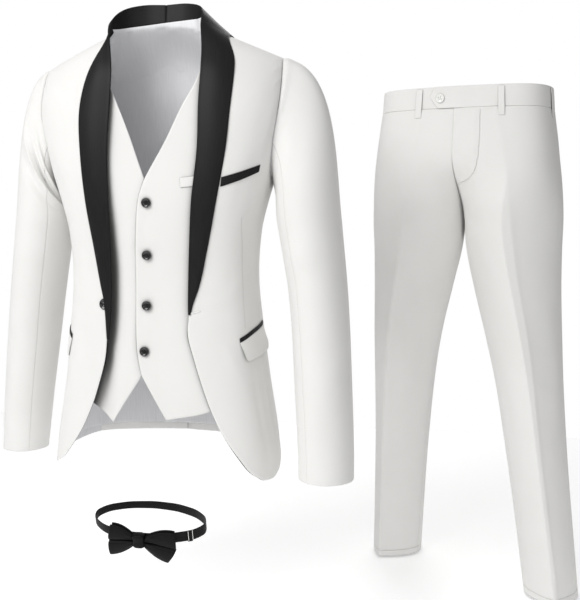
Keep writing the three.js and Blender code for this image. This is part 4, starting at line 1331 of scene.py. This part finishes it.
def bow_wing(name, side, front):
    """A wing of the bow: two full lobes with a deep pleat between them that runs out from the knot."""
    turn, top, middle, bottom, half = BOW_WINGS[side]
    half = half + (0 if front else 1)
    s, t = np.meshgrid(grid_lines(52, (0.01, 0.03, 0.985)), grid_lines(72, (0.006, 0.02)))
    belly = np.sin(np.pi * t) ** 1.3
    end = mix(float(top), float(bottom), t) + (middle - (top + bottom) / 2) * belly
    end = end - (0 if front else 2.5)
    x = mix(float(WING_ROOT), end, s)
    flare = mix(10.3, half, s * (2 - s))
    z = mix(flare, -flare, t)
    if front:
        lobe = np.abs(np.sin(2 * np.pi * t)) ** 0.6
        pleat = np.exp(-(np.abs(t - 0.5 - 0.02 * s) / mix(0.055, 0.035, s)) ** 1.6) * mix(1.0, 0.75, s)
        gathers = 0.9 * np.cos(2 * np.pi * t * 5) * (1 - smooth(s * 2.6))
        puff = 3.4 * np.sin(np.pi * t) ** 0.6 * mix(1.0, 0.6, s) + 3.0 * lobe * mix(0.5, 1.0, s)
        puff = puff - 5.0 * pleat + gathers
    else:
        puff = 2.6 * np.sin(np.pi * t)
    tilt = np.radians(turn)
    y = -(BAND_HALF[1] + (BOW_FACE if front else BACK_FACE)) - puff
    face = np.stack([side * x * np.cos(tilt) + z * np.sin(tilt), y,
                     -side * x * np.sin(tilt) + z * np.cos(tilt)], axis=-1)
    return cloth_piece(name, face, grid_normals(face, np.array([0.0, -1.0, 0.0])), 2.0, BOW_PLACE,
                       ["black_bow_satin"], roll=0.7, reach=1.8, swell=0.5)


def slider_bar(name, phi):
    """One of the slider's two thin wire bars, upright across the band; their white resin is a painted
    highlight of the wire.
    """
    u, v = np.meshgrid(grid_lines(6, (0.1,)), grid_lines(24, (0.02, 0.06)))
    return on_band(name, mix(phi - 0.25, phi + 0.25, u), (BAND_WIDTH + 4.5) * mix(0.5, -0.5, v),
                   3.2 + 0.5 * np.sin(np.pi * u), 0.9, "white_cast_resin", roll=0.3, reach=0.5, swell=0.15)


def bow_knot():
    """The band wrapped round the middle of the bow: a rounded block with two soft folds in it."""
    count, rings, half = 64, 36, 12.4
    phi = np.linspace(0, 2 * np.pi, count, endpoint=False)[None, :]
    t = np.linspace(0, 1, rings)[:, None]
    height = mix(half, -half, t)
    end = 1 - np.abs(2 * t - 1) ** 7 * 0.22
    waist = 1 + 0.05 * np.cos(2 * np.pi * t)
    square = (np.abs(np.cos(phi)) ** 3.2 + np.abs(np.sin(phi)) ** 3.2) ** (-1 / 3.2)
    turn = np.degrees(phi)
    groove = 1 - 0.05 * bell(turn, 305, 5) * np.sin(np.pi * t) - 0.03 * bell(turn, 247, 5) * np.sin(np.pi * t)
    x = 10.8 * square * np.cos(phi) * end * waist * groove
    y = 8.2 * square * np.sin(phi) * end * waist * groove
    wall = np.stack([x, y, height + 0 * phi], axis=-1).reshape(-1, 3)
    caps = np.array([[0, 0, half + 0.5], [0, 0, -half - 0.5]])
    points = np.vstack([wall, caps]) + np.array([0, -(BAND_HALF[1] + 8.2), 0])
    following = [(i, (i + 1) % count) for i in range(count)]
    faces = [(j + i, j + count + i, j + count + k, j + k)
             for j in range(0, (rings - 1) * count, count) for i, k in following]
    for i, k in following:
        faces += [(len(wall), i, k), (len(wall) + 1, (rings - 1) * count + k, (rings - 1) * count + i)]
    uv = np.stack([10 * phi + 0 * t, height + 0 * phi], axis=-1).reshape(-1, 2)
    knot = make_mesh("knot_satin", moved(points, BOW_PLACE), faces, np.vstack([uv, np.zeros((2, 2))]))
    knot.data.materials.append(finish("black_bow_satin"))
    work = bmesh.new()
    work.from_mesh(knot.data)
    close_work(work, knot.data)
    return knot


# the two strands of each thread that crosses a button, in metres
STRAND_OFFSET = 0.00022
STRAND_RADIUS = 0.00028
# outline of a button from its back to its face, in shares of its radius and height
BUTTON_OUTLINE = [(0, 0), (0.80, 0), (0.95, 0.12), (1, 0.42), (0.985, 0.78), (0.94, 0.95), (0.87, 1),
                  (0.79, 0.95), (0.71, 0.78), (0.64, 0.66), (0.4, 0.58), (0, 0.56)]


# Buttons
def close_work(work, mesh):
    """Turns all faces outwards and writes them into a mesh."""
    bmesh.ops.recalc_face_normals(work, faces=work.faces)
    work.to_mesh(mesh)
    work.free()
    return mesh


def skin(work, rings, slot=0):
    """Smooth faces between rings of vertices; a ring of one vertex closes the shape."""
    for low, high in zip(rings[:-1], rings[1:]):
        count = max(len(low), len(high))
        for k in range(count):
            after = (k + 1) % count
            corners = dict.fromkeys([low[k % len(low)], low[after % len(low)], high[after % len(high)],
                                     high[k % len(high)]])
            if len(corners) > 2:
                face = work.faces.new(list(corners))
                face.smooth = True
                face.material_index = slot


def round_steps(count):
    """Angles in even steps round a circle."""
    return [2 * np.pi * k / count for k in range(count)]


def lathe(name, outline, steps=56):
    """A closed turned shape about Z from (radius, height) points that start and end on the axis."""
    work = bmesh.new()
    skin(work, [[work.verts.new((radius * np.cos(a), radius * np.sin(a), height))
                 for a in (round_steps(steps) if radius else [0.0])] for radius, height in outline])
    return new_object(name, close_work(work, bpy.data.meshes.new(name)))


def applied(piece):
    """The piece's mesh with its modifiers worked in."""
    bpy.context.view_layer.update()
    evaluated = piece.evaluated_get(bpy.context.evaluated_depsgraph_get())
    mesh = bpy.data.meshes.new_from_object(evaluated)
    piece.modifiers.clear()
    old = piece.data
    piece.data = mesh
    bpy.data.meshes.remove(old)
    return piece


def button_blank(name, radius, height, material, thread_material):
    """A four-hole button with a raised rim and a dished middle, sewn on with a cross of thread."""
    r, h = radius * MM, height * MM
    blank = lathe(name, [(r * across, h * up) for across, up in BUTTON_OUTLINE])
    holes = bmesh.new()
    place, hole_radius = r * 0.235, r * 0.115
    for x, y in ((-place, -place), (-place, place), (place, -place), (place, place)):
        bmesh.ops.create_cone(holes, cap_ends=True, segments=20, radius1=hole_radius,
                              radius2=hole_radius, depth=h * 2, matrix=Matrix.Translation((x, y, h * 0.5)))
    cutter_mesh = bpy.data.meshes.new(f"{name}_holes")
    holes.to_mesh(cutter_mesh)
    holes.free()
    cutter = new_object(f"{name}_holes", cutter_mesh)
    cut = blank.modifiers.new("holes", "BOOLEAN")
    cut.operation = "DIFFERENCE"
    cut.object = cutter
    cut.solver = "EXACT"
    blank = applied(blank)
    bpy.data.objects.remove(cutter)
    blank.data.materials.clear()
    blank.data.materials.append(material)
    blank.data.materials.append(thread_material)
    work = bmesh.new()
    work.from_mesh(blank.data)
    for face in work.faces:
        face.smooth = True
        face.material_index = 0
    for turn in (45, -45):
        for offset in (-STRAND_OFFSET, STRAND_OFFSET):
            rings = []
            for share in np.linspace(-1, 1, 13):
                arch = h * 0.44 + h * 0.34 * max(0.0, 1 - share * share) ** 0.5
                centre = Vector((place * 1.42 * share, offset, arch))
                tilt = share * 1.2
                ring = []
                for a in round_steps(8):
                    local = Vector((np.sin(tilt) * np.sin(a), np.cos(a), np.cos(tilt) * np.sin(a)))
                    spot = Matrix.Rotation(np.radians(turn), 3, "Z") @ (centre + local * STRAND_RADIUS)
                    ring.append(work.verts.new(spot))
                rings.append(ring)
            skin(work, rings, 1)
            for ring in (rings[0], rings[-1]):
                work.faces.new(ring).material_index = 1
    close_work(work, blank.data)
    return blank


# Geometry Nodes: what is repeated along a seam or set on a place
def group_tree(name, sockets):
    """An empty geometry tree with named inputs, and the identifiers of those inputs."""
    tree = bpy.data.node_groups.new(name, "GeometryNodeTree")
    tree.interface.new_socket("Geometry", in_out="INPUT", socket_type="NodeSocketGeometry")
    named = {}
    for label, kind in sockets:
        named[label] = tree.interface.new_socket(label, in_out="INPUT", socket_type=kind).identifier
    tree.interface.new_socket("Geometry", in_out="OUTPUT", socket_type="NodeSocketGeometry")
    return tree, named


def facing_way(tree):
    """The rotation that turns Z to the way each point faces."""
    facing = add_node(tree, "GeometryNodeInputNamedAttribute", {"Name": "facing"}, data_type="FLOAT_VECTOR")
    return add_node(tree, "FunctionNodeAlignRotationToVector", {"Vector": facing.outputs[0]},
                    axis="Z").outputs[0]


def set_out(tree, points, blank, rotation, dye):
    """Ends a tree: copies of an object on points, made real; dye gives the sockets of Set Material."""
    copied = add_node(tree, "GeometryNodeObjectInfo", {"Object": blank})
    placed = add_node(tree, "GeometryNodeInstanceOnPoints", {
        "Points": points, "Instance": copied.outputs["Geometry"], "Rotation": rotation})
    real = add_node(tree, "GeometryNodeRealizeInstances", {0: placed.outputs[0]})
    dyed = add_node(tree, "GeometryNodeSetMaterial", {"Geometry": real.outputs[0], **dye})
    add_node(tree, "NodeGroupOutput", {0: dyed.outputs[0]})


def seam_tree():
    """Stitches along a seam: its path is cut into equal steps and each takes one stitch."""
    tree, named = group_tree("stitches_along_seam", [
        ("Stitch", "NodeSocketObject"), ("Pitch", "NodeSocketFloat"), ("Thread", "NodeSocketMaterial")])
    start = add_node(tree, "NodeGroupInput").outputs
    curve = add_node(tree, "GeometryNodeMeshToCurve", {0: start["Geometry"]})
    even = add_node(tree, "GeometryNodeResampleCurve", {
        "Curve": curve.outputs[0], "Length": start["Pitch"]}, mode="LENGTH")
    tangent = add_node(tree, "GeometryNodeInputTangent")
    aligned = add_node(tree, "FunctionNodeAlignRotationToVector", {
        "Rotation": facing_way(tree), "Vector": tangent.outputs[0]}, axis="X", pivot_axis="Z")
    set_out(tree, even.outputs[0], start["Stitch"], aligned.outputs[0], {"Material": start["Thread"]})
    return tree, named


def button_tree():
    """Buttons on their places: each point carries the way its button faces. Their thread keeps its dye."""
    tree, named = group_tree("buttons_on_places", [
        ("Button", "NodeSocketObject"), ("Resin", "NodeSocketMaterial")])
    start = add_node(tree, "NodeGroupInput").outputs
    index = add_node(tree, "GeometryNodeInputMaterialIndex")
    whole = add_node(tree, "FunctionNodeCompare", {2: index.outputs[0], 3: 0}, data_type="INT",
                     operation="EQUAL")
    set_out(tree, start["Geometry"], start["Button"], facing_way(tree),
            {"Selection": whole.outputs[0], "Material": start["Resin"]})
    return tree, named


def grown(name, points, facing, joined, trees, values):
    """A plain mesh from a geometry tree on a path or a set of points, in metres."""
    mesh = bpy.data.meshes.new(name)
    edges = [(k, k + 1) for k in range(len(points) - 1)] if joined else []
    mesh.from_pydata(np.asarray(points).tolist(), edges, [])
    way = mesh.attributes.new("facing", "FLOAT_VECTOR", "POINT")
    way.data.foreach_set("vector", np.asarray(facing, np.float32).ravel())
    piece = new_object(name, mesh)
    tree, named = trees
    modifier = piece.modifiers.new("made", "NODES")
    modifier.node_group = tree
    for label, value in values.items():
        modifier[named[label]] = value
    return applied(piece)


def stitch_blank():
    """One stitch of topstitching: a short rounded thread that dips at both ends."""
    work = bmesh.new()
    half, radius = 0.00105, 0.00021
    rings = []
    for share in np.linspace(-1, 1, 7):
        size = radius * (1 - 0.75 * abs(share) ** 4)
        middle = Vector((half * share, 0, radius * 0.5 - radius * 1.1 * share * share))
        rings.append([work.verts.new(middle + Vector((0, np.cos(a) * size, np.sin(a) * size)))
                      for a in round_steps(6)])
    skin(work, rings)
    for ring in (rings[0], rings[-1]):
        work.faces.new(ring).smooth = True
    return new_object("stitch_blank", close_work(work, bpy.data.meshes.new("stitch_blank")))


def trouser_path(side, path, face, lift):
    """Points and outward ways of a seam on the trousers, in metres."""
    across, z = spaced(path, np.linspace(0, 1, 80)).T

    def at(a, h):
        return trouser_face(a, h, side, face)

    du = at(np.minimum(across + 0.01, 1), z) - at(np.maximum(across - 0.01, 0), z)
    dv = at(across, z + 2) - at(across, z - 2)
    normal = unit(np.cross(du, dv))
    normal = normal * np.sign(np.sum(normal * np.array([0.15 * side, face, 0]), axis=-1, keepdims=True))
    point = at(across, z) + normal * (trouser_relief(across, z, side, face) + lift)[:, None]
    return moved(point, TROUSER_PLACE) * MM, normal @ TROUSER_PLACE[:3, :3].T


# Settings
class TuxedoSizes(bpy.types.PropertyGroup):
    """Sizes that a maker would change."""

    thread_shown: FloatProperty(
        name="Thread spacing", description="Spacing of the weave as drawn, in millimetres",
        default=0.9, min=0.2, max=3.0)
    line_width: FloatProperty(
        name="Sewn line", description="Half width of a seam's or dart's dent, in millimetres",
        default=0.7, min=0.2, max=3.0)
    stitch_pitch: FloatProperty(
        name="Stitch pitch", description="Distance from stitch to stitch, in metres",
        default=0.0030, min=0.001, max=0.01, unit="LENGTH")
    key_light: FloatProperty(
        name="Key light", description="Power of the large soft light, in watts",
        default=44.0, min=0.0, max=1000.0, unit="POWER")
    room_light: FloatProperty(
        name="Room light", description="Strength of the light that comes from all round",
        default=0.36, min=0.0, max=5.0)


class TuxedoColours(bpy.types.PropertyGroup):
    """Colours as sRGB hex values."""

    wool: StringProperty(name="Suiting", description="White suiting", default="#e9e8e6")
    wool_shade: StringProperty(name="Suiting shade", description="Its duller clouds", default="#e0dfdc")
    satin: StringProperty(name="Satin", description="Black collar satin", default="#191919")
    lining: StringProperty(name="Lining", description="Grey satin lining", default="#d8d8da")
    paper: StringProperty(name="Floor", description="Pale studio paper", default="#f4f4f4")


# the photograph's view: place in metres, tilt and turn in degrees, lens in millimetres
CAMERA_PLACE = (0.5114, -1.5211, -0.315)
CAMERA_TILT = 84.3
CAMERA_TURN = 10.8
CAMERA_LENS = 54
# name, place and aim in metres, size, share of the key light's power
LIGHTS = [
    ("key", (-0.9, -1.75, 1.2), (0.15, 0, -0.35), 1.4, 1.0),
    ("front", (0.7, -2.6, 0.4), (0.25, 0, -0.4), 1.4, 0.2),
    ("back", (0.2, 2.2, 1.2), (0.2, 0, -0.5), 1.6, 0.5),
]
FLOOR_GAP = 0.004
FLOOR_HALF = 1.6


# Operators
class TUXEDO_OT_stage(bpy.types.Operator):
    """Set the camera, the soft lights and the pale floor"""

    bl_idname = "tuxedo.stage"
    bl_label = "Stage"

    def execute(self, context):
        scene = context.scene
        sizes = scene.tuxedo_sizes
        camera_data = bpy.data.cameras.new("camera")
        camera_data.lens = CAMERA_LENS
        camera_data.sensor_width = 36
        camera = new_object("camera", camera_data)
        camera.location = CAMERA_PLACE
        camera.rotation_euler = (np.radians(CAMERA_TILT), 0, np.radians(CAMERA_TURN))
        scene.camera = camera
        scene.view_settings.view_transform = "Standard"

        for name, place, aim, size, share in LIGHTS:
            lamp = bpy.data.lights.new(name, "AREA")
            lamp.size = size
            lamp.energy = sizes.key_light * share
            light = new_object(name, lamp)
            light.location = place
            light.rotation_euler = (Vector(aim) - Vector(place)).to_track_quat("-Z", "Y").to_euler()

        world = bpy.data.worlds.new("room")
        world.use_nodes = True
        tree = world.node_tree
        tree.nodes.clear()
        seen = add_node(tree, "ShaderNodeLightPath").outputs["Is Camera Ray"]
        strength = ranged(tree, seen, (0.0, 1.0), (sizes.room_light, 1.0))
        sky = add_node(tree, "ShaderNodeBackground", {"Color": linear("#ffffff"), "Strength": strength})
        add_node(tree, "ShaderNodeOutputWorld", {"Surface": sky.outputs[0]})
        scene.world = world

        low = CAD_BOX[0][2] - FLOOR_GAP
        half = FLOOR_HALF
        mesh = bpy.data.meshes.new("floor")
        mesh.from_pydata([(-half, -half, low), (half, -half, low), (half, half, low), (-half, half, low)],
                         [], [(0, 1, 2, 3)])
        mesh.materials.append(paper_floor("studio_paper", scene.tuxedo_colours.paper))
        floor = new_object("floor", mesh)
        return {"FINISHED"}


class TUXEDO_OT_jacket(bpy.types.Operator):
    """Cut the jacket's fronts, sides, backs, facings and its lining"""

    bl_idname = "tuxedo.jacket"
    bl_label = "Jacket body"

    def execute(self, context):
        for side, hand in HANDS:
            hand_in(jacket_front(side, hand), f"jacket_front_{hand}")
            hand_in(jacket_side(side, hand), f"jacket_side_{hand}")
            hand_in(jacket_back(side, hand), f"jacket_back_{hand}")
            hand_in(jacket_facing(side, hand), f"jacket_facing_{hand}")
        hand_in(jacket_back_lining(), "jacket_lining_back")
        return {"FINISHED"}


class TUXEDO_OT_sleeves(bpy.types.Operator):
    """Cut the two-piece sleeves with their folds"""

    bl_idname = "tuxedo.sleeves"
    bl_label = "Sleeves"

    def execute(self, context):
        for side, hand in HANDS:
            top = sleeve_cloth(f"sleeve_top_cloth_{hand}", side, -SLEEVE_SEAM, SLEEVE_SEAM, 72)
            hand_in(top, f"jacket_sleeve_top_{hand}")
            under = sleeve_cloth(f"sleeve_under_cloth_{hand}", side, SLEEVE_SEAM, 360 - SLEEVE_SEAM, 34)
            hand_in(under, f"jacket_sleeve_under_{hand}")
        return {"FINISHED"}


class TUXEDO_OT_collar(bpy.types.Operator):
    """Lay the shawl collar with its satin lapels"""

    bl_idname = "tuxedo.collar"
    bl_label = "Shawl collar"

    def execute(self, context):
        for side, hand in HANDS:
            hand_in(jacket_lapel(side, hand), f"jacket_lapel_{hand}")
        return {"FINISHED"}


class TUXEDO_OT_pockets(bpy.types.Operator):
    """Set the breast welt, the hip welts with their flaps, the buttonhole and the vest's welt"""

    bl_idname = "tuxedo.pockets"
    bl_label = "Pockets"

    def execute(self, context):
        breast = strip_cloth("breast_welt_satin", [(34, -262), (47, -251), (60, -240)],
                             [(34.5, -277), (47.5, -265), (60.5, -252)], 1, POCKET_LIFT, POCKET_CLOTH,
                             (40, 12), "black_satin_cloth")
        hand_in(breast, "jacket_breast_welt")
        for side, hand in HANDS:
            welt = strip_cloth(f"hip_welt_satin_{hand}", [(53, -529), (72, -516), (97, -507)],
                               [(53, -535.8), (72, -522.8), (97, -513.8)], side, POCKET_LIFT,
                               POCKET_CLOTH, (60, 8), "black_satin_cloth")
            hand_in(welt, f"jacket_hip_welt_{hand}")
            flap = strip_cloth(f"flap_cloth_{hand}", [(53, -536.5), (72, -523.5), (97, -514.5)],
                               [(56, -569), (74, -563), (101, -556)], side, POCKET_LIFT + 0.3,
                               POCKET_CLOTH + 0.3, (70, 22), "worsted_suiting",
                               round_corner=FLAP_CORNER, stand=FLAP_STAND[side])
            hand_in(flap, f"jacket_flap_{hand}")
        hole = strip_cloth("buttonhole_cord", [(19.6, -485.2), (26.0, -480.9)],
                           [(19.6, -487.4), (26.0, -483.1)], 1, 0.9, 0.9, (30, 8), "white_sewing_thread")
        hand_in(hole, None)
        vest = strip_cloth("vest_welt_cloth", [(14, -262), (28, -257), (42, -252)],
                           [(14.6, -278), (28.6, -273), (42.6, -268)], 1, VEST_DEPTH + POCKET_LIFT,
                           POCKET_CLOTH, (36, 12), "worsted_suiting")
        hand_in(vest, "vest_breast_welt")
        return {"FINISHED"}


class TUXEDO_OT_vest(bpy.types.Operator):
    """Cut the vest's fronts and its satin back"""

    bl_idname = "tuxedo.vest"
    bl_label = "Vest"

    def execute(self, context):
        for side, hand in HANDS:
            hand_in(vest_front(side, hand), f"vest_front_{hand}")
        hand_in(vest_back(), "vest_back")
        hand_in(vest_neck(), None)
        return {"FINISHED"}


class TUXEDO_OT_trousers(bpy.types.Operator):
    """Cut the trousers' legs, the waistband with its tab, and the belt loops"""

    bl_idname = "tuxedo.trousers"
    bl_label = "Trousers"

    def execute(self, context):
        for side, hand in HANDS:
            hand_in(trouser_cloth(side, hand, -1), f"trouser_front_{hand}")
            hand_in(trouser_cloth(side, hand, 1), f"trouser_back_{hand}")
            band_nodes = ("waistband_left", "waistband_tab") if side > 0 else "waistband_right"
            hand_in(waistband(side, hand), band_nodes)
        for name, centre in BELT_LOOPS.items():
            hand_in(belt_loop(name, centre), f"belt_loop_{name}")
        return {"FINISHED"}


class TUXEDO_OT_bow_tie(bpy.types.Operator):
    """Fold the bow tie and its band"""

    bl_idname = "tuxedo.bow_tie"
    bl_label = "Bow tie"

    def execute(self, context):
        band = band_piece("band_satin", 2, 358, (170, 10), 0, 1.6, BAND_WIDTH)
        hand_in(band, "bow_band")
        slider = band_piece("slider_loop", 50, 57, (12, 14), 2.2, 1.7, BAND_WIDTH + 2.4, roll=0.6)
        hand_in(slider, "bow_slider")
        for name, phi in (("slider_bar_inner", 50.6), ("slider_bar_outer", 56.4)):
            hand_in(slider_bar(name, phi), None)
        for side, hand in HANDS:
            wing = bow_wing(f"wing_satin_{hand}", side, True)
            hand_in(wing, f"bow_wing_{hand}")
            behind = bow_wing(f"back_wing_satin_{hand}", side, False)
            hand_in(behind, f"bow_back_{hand}")
        hand_in(bow_knot(), "bow_knot")
        return {"FINISHED"}


class TUXEDO_OT_buttons(bpy.types.Operator):
    """Sew on the jacket's, the vest's and the trousers' buttons"""

    bl_idname = "tuxedo.buttons"
    bl_label = "Buttons"

    def execute(self, context):
        trees = button_tree()
        black = finish("black_cast_resin")
        white = finish("white_cast_resin")
        vest_blank = button_blank("vest_blank", 8.0, 3.4, black, finish("black_sewing_thread"))
        jacket_blank = button_blank("jacket_blank", 9.8, 4.0, black, finish("black_sewing_thread"))
        waist_blank = button_blank("waist_blank", 8.5, 3.0, white, finish("white_sewing_thread"))

        def sew_on(name, blank, resin_finish, point, way, node):
            """Sets one button on its point, given in millimetres."""
            piece = grown(name, point[None] * MM, way[None], False, trees,
                          {"Button": blank, "Resin": resin_finish})
            hand_in(piece, node)

        for k, (theta, level, lift) in enumerate(VEST_BUTTONS):
            point = on_body(theta, level, VEST_DEPTH + lift + BUTTON_SEAT)
            sew_on(f"button_vest_{k + 1}", vest_blank, black, point, body_normal(theta, level),
                   f"vest_button_{k + 1}")
        theta, level, lift = JACKET_BUTTON
        sew_on("button_jacket", jacket_blank, black, on_body(theta, level, lift), body_normal(theta, level),
               "jacket_button")
        way = pelvis_normal(*WAIST_BUTTON)
        point = moved(pelvis_face(*WAIST_BUTTON) + way * WAIST_BUTTON_LIFT, TROUSER_PLACE)
        sew_on("button_waist", waist_blank, white, point, way @ TROUSER_PLACE[:3, :3].T, "waist_button")
        for blank in (vest_blank, jacket_blank, waist_blank):
            bpy.data.objects.remove(blank)
        return {"FINISHED"}


class TUXEDO_OT_stitching(bpy.types.Operator):
    """Run the stitching along the fly and the trousers' hems"""

    bl_idname = "tuxedo.stitching"
    bl_label = "Stitching"

    def execute(self, context):
        trees = seam_tree()
        blank = stitch_blank()
        white = finish("white_sewing_thread")
        pitch = context.scene.tuxedo_sizes.stitch_pitch
        seams = [("fly", trouser_path(1, FLY_STITCH, -1, STITCH_LIFT))]
        hem = [(0.01, LEG_HEM + HEM_STITCHES), (0.99, LEG_HEM + HEM_STITCHES)]
        for side, hand in HANDS:
            for face, where in ((-1, "front"), (1, "back")):
                seams.append((f"hem_{where}_{hand}", trouser_path(side, hem, face, STITCH_LIFT)))
        for name, (points, ways) in seams:
            piece = grown(f"stitches_{name}", points, ways, True, trees,
                          {"Stitch": blank, "Pitch": pitch, "Thread": white})
            hand_in(piece, None)
        bpy.data.objects.remove(blank)
        return {"FINISHED"}


class TUXEDO_PT_panel(bpy.types.Panel):
    """The tuxedo's settings and its makers' steps"""

    bl_idname = "TUXEDO_PT_panel"
    bl_label = "Tuxedo set"
    bl_space_type = "VIEW_3D"
    bl_region_type = "UI"
    bl_category = "Tuxedo"

    def draw(self, context):
        for group in (context.scene.tuxedo_sizes, context.scene.tuxedo_colours):
            for name in group.__annotations__:
                self.layout.prop(group, name)
        for step in STEPS:
            self.layout.operator(step.bl_idname)


STEPS = (TUXEDO_OT_stage, TUXEDO_OT_jacket, TUXEDO_OT_sleeves, TUXEDO_OT_collar, TUXEDO_OT_pockets,
         TUXEDO_OT_vest, TUXEDO_OT_trousers, TUXEDO_OT_bow_tie, TUXEDO_OT_buttons, TUXEDO_OT_stitching)
CLASSES = (TuxedoSizes, TuxedoColours) + STEPS + (TUXEDO_PT_panel,)


def register():
    """Add the classes and the scene's settings."""
    for each in CLASSES:
        bpy.utils.register_class(each)
    bpy.types.Scene.tuxedo_sizes = PointerProperty(type=TuxedoSizes)
    bpy.types.Scene.tuxedo_colours = PointerProperty(type=TuxedoColours)


def unregister():
    """Take them away again."""
    del bpy.types.Scene.tuxedo_colours
    del bpy.types.Scene.tuxedo_sizes
    for each in reversed(CLASSES):
        bpy.utils.unregister_class(each)


def main():
    """Make the whole set."""
    register()
    bpy.ops.tuxedo.stage()
    bpy.ops.tuxedo.jacket()
    bpy.ops.tuxedo.sleeves()
    bpy.ops.tuxedo.collar()
    bpy.ops.tuxedo.pockets()
    bpy.ops.tuxedo.vest()
    bpy.ops.tuxedo.trousers()
    bpy.ops.tuxedo.bow_tie()
    bpy.ops.tuxedo.buttons()
    bpy.ops.tuxedo.stitching()


if __name__ == "__main__":
    main()
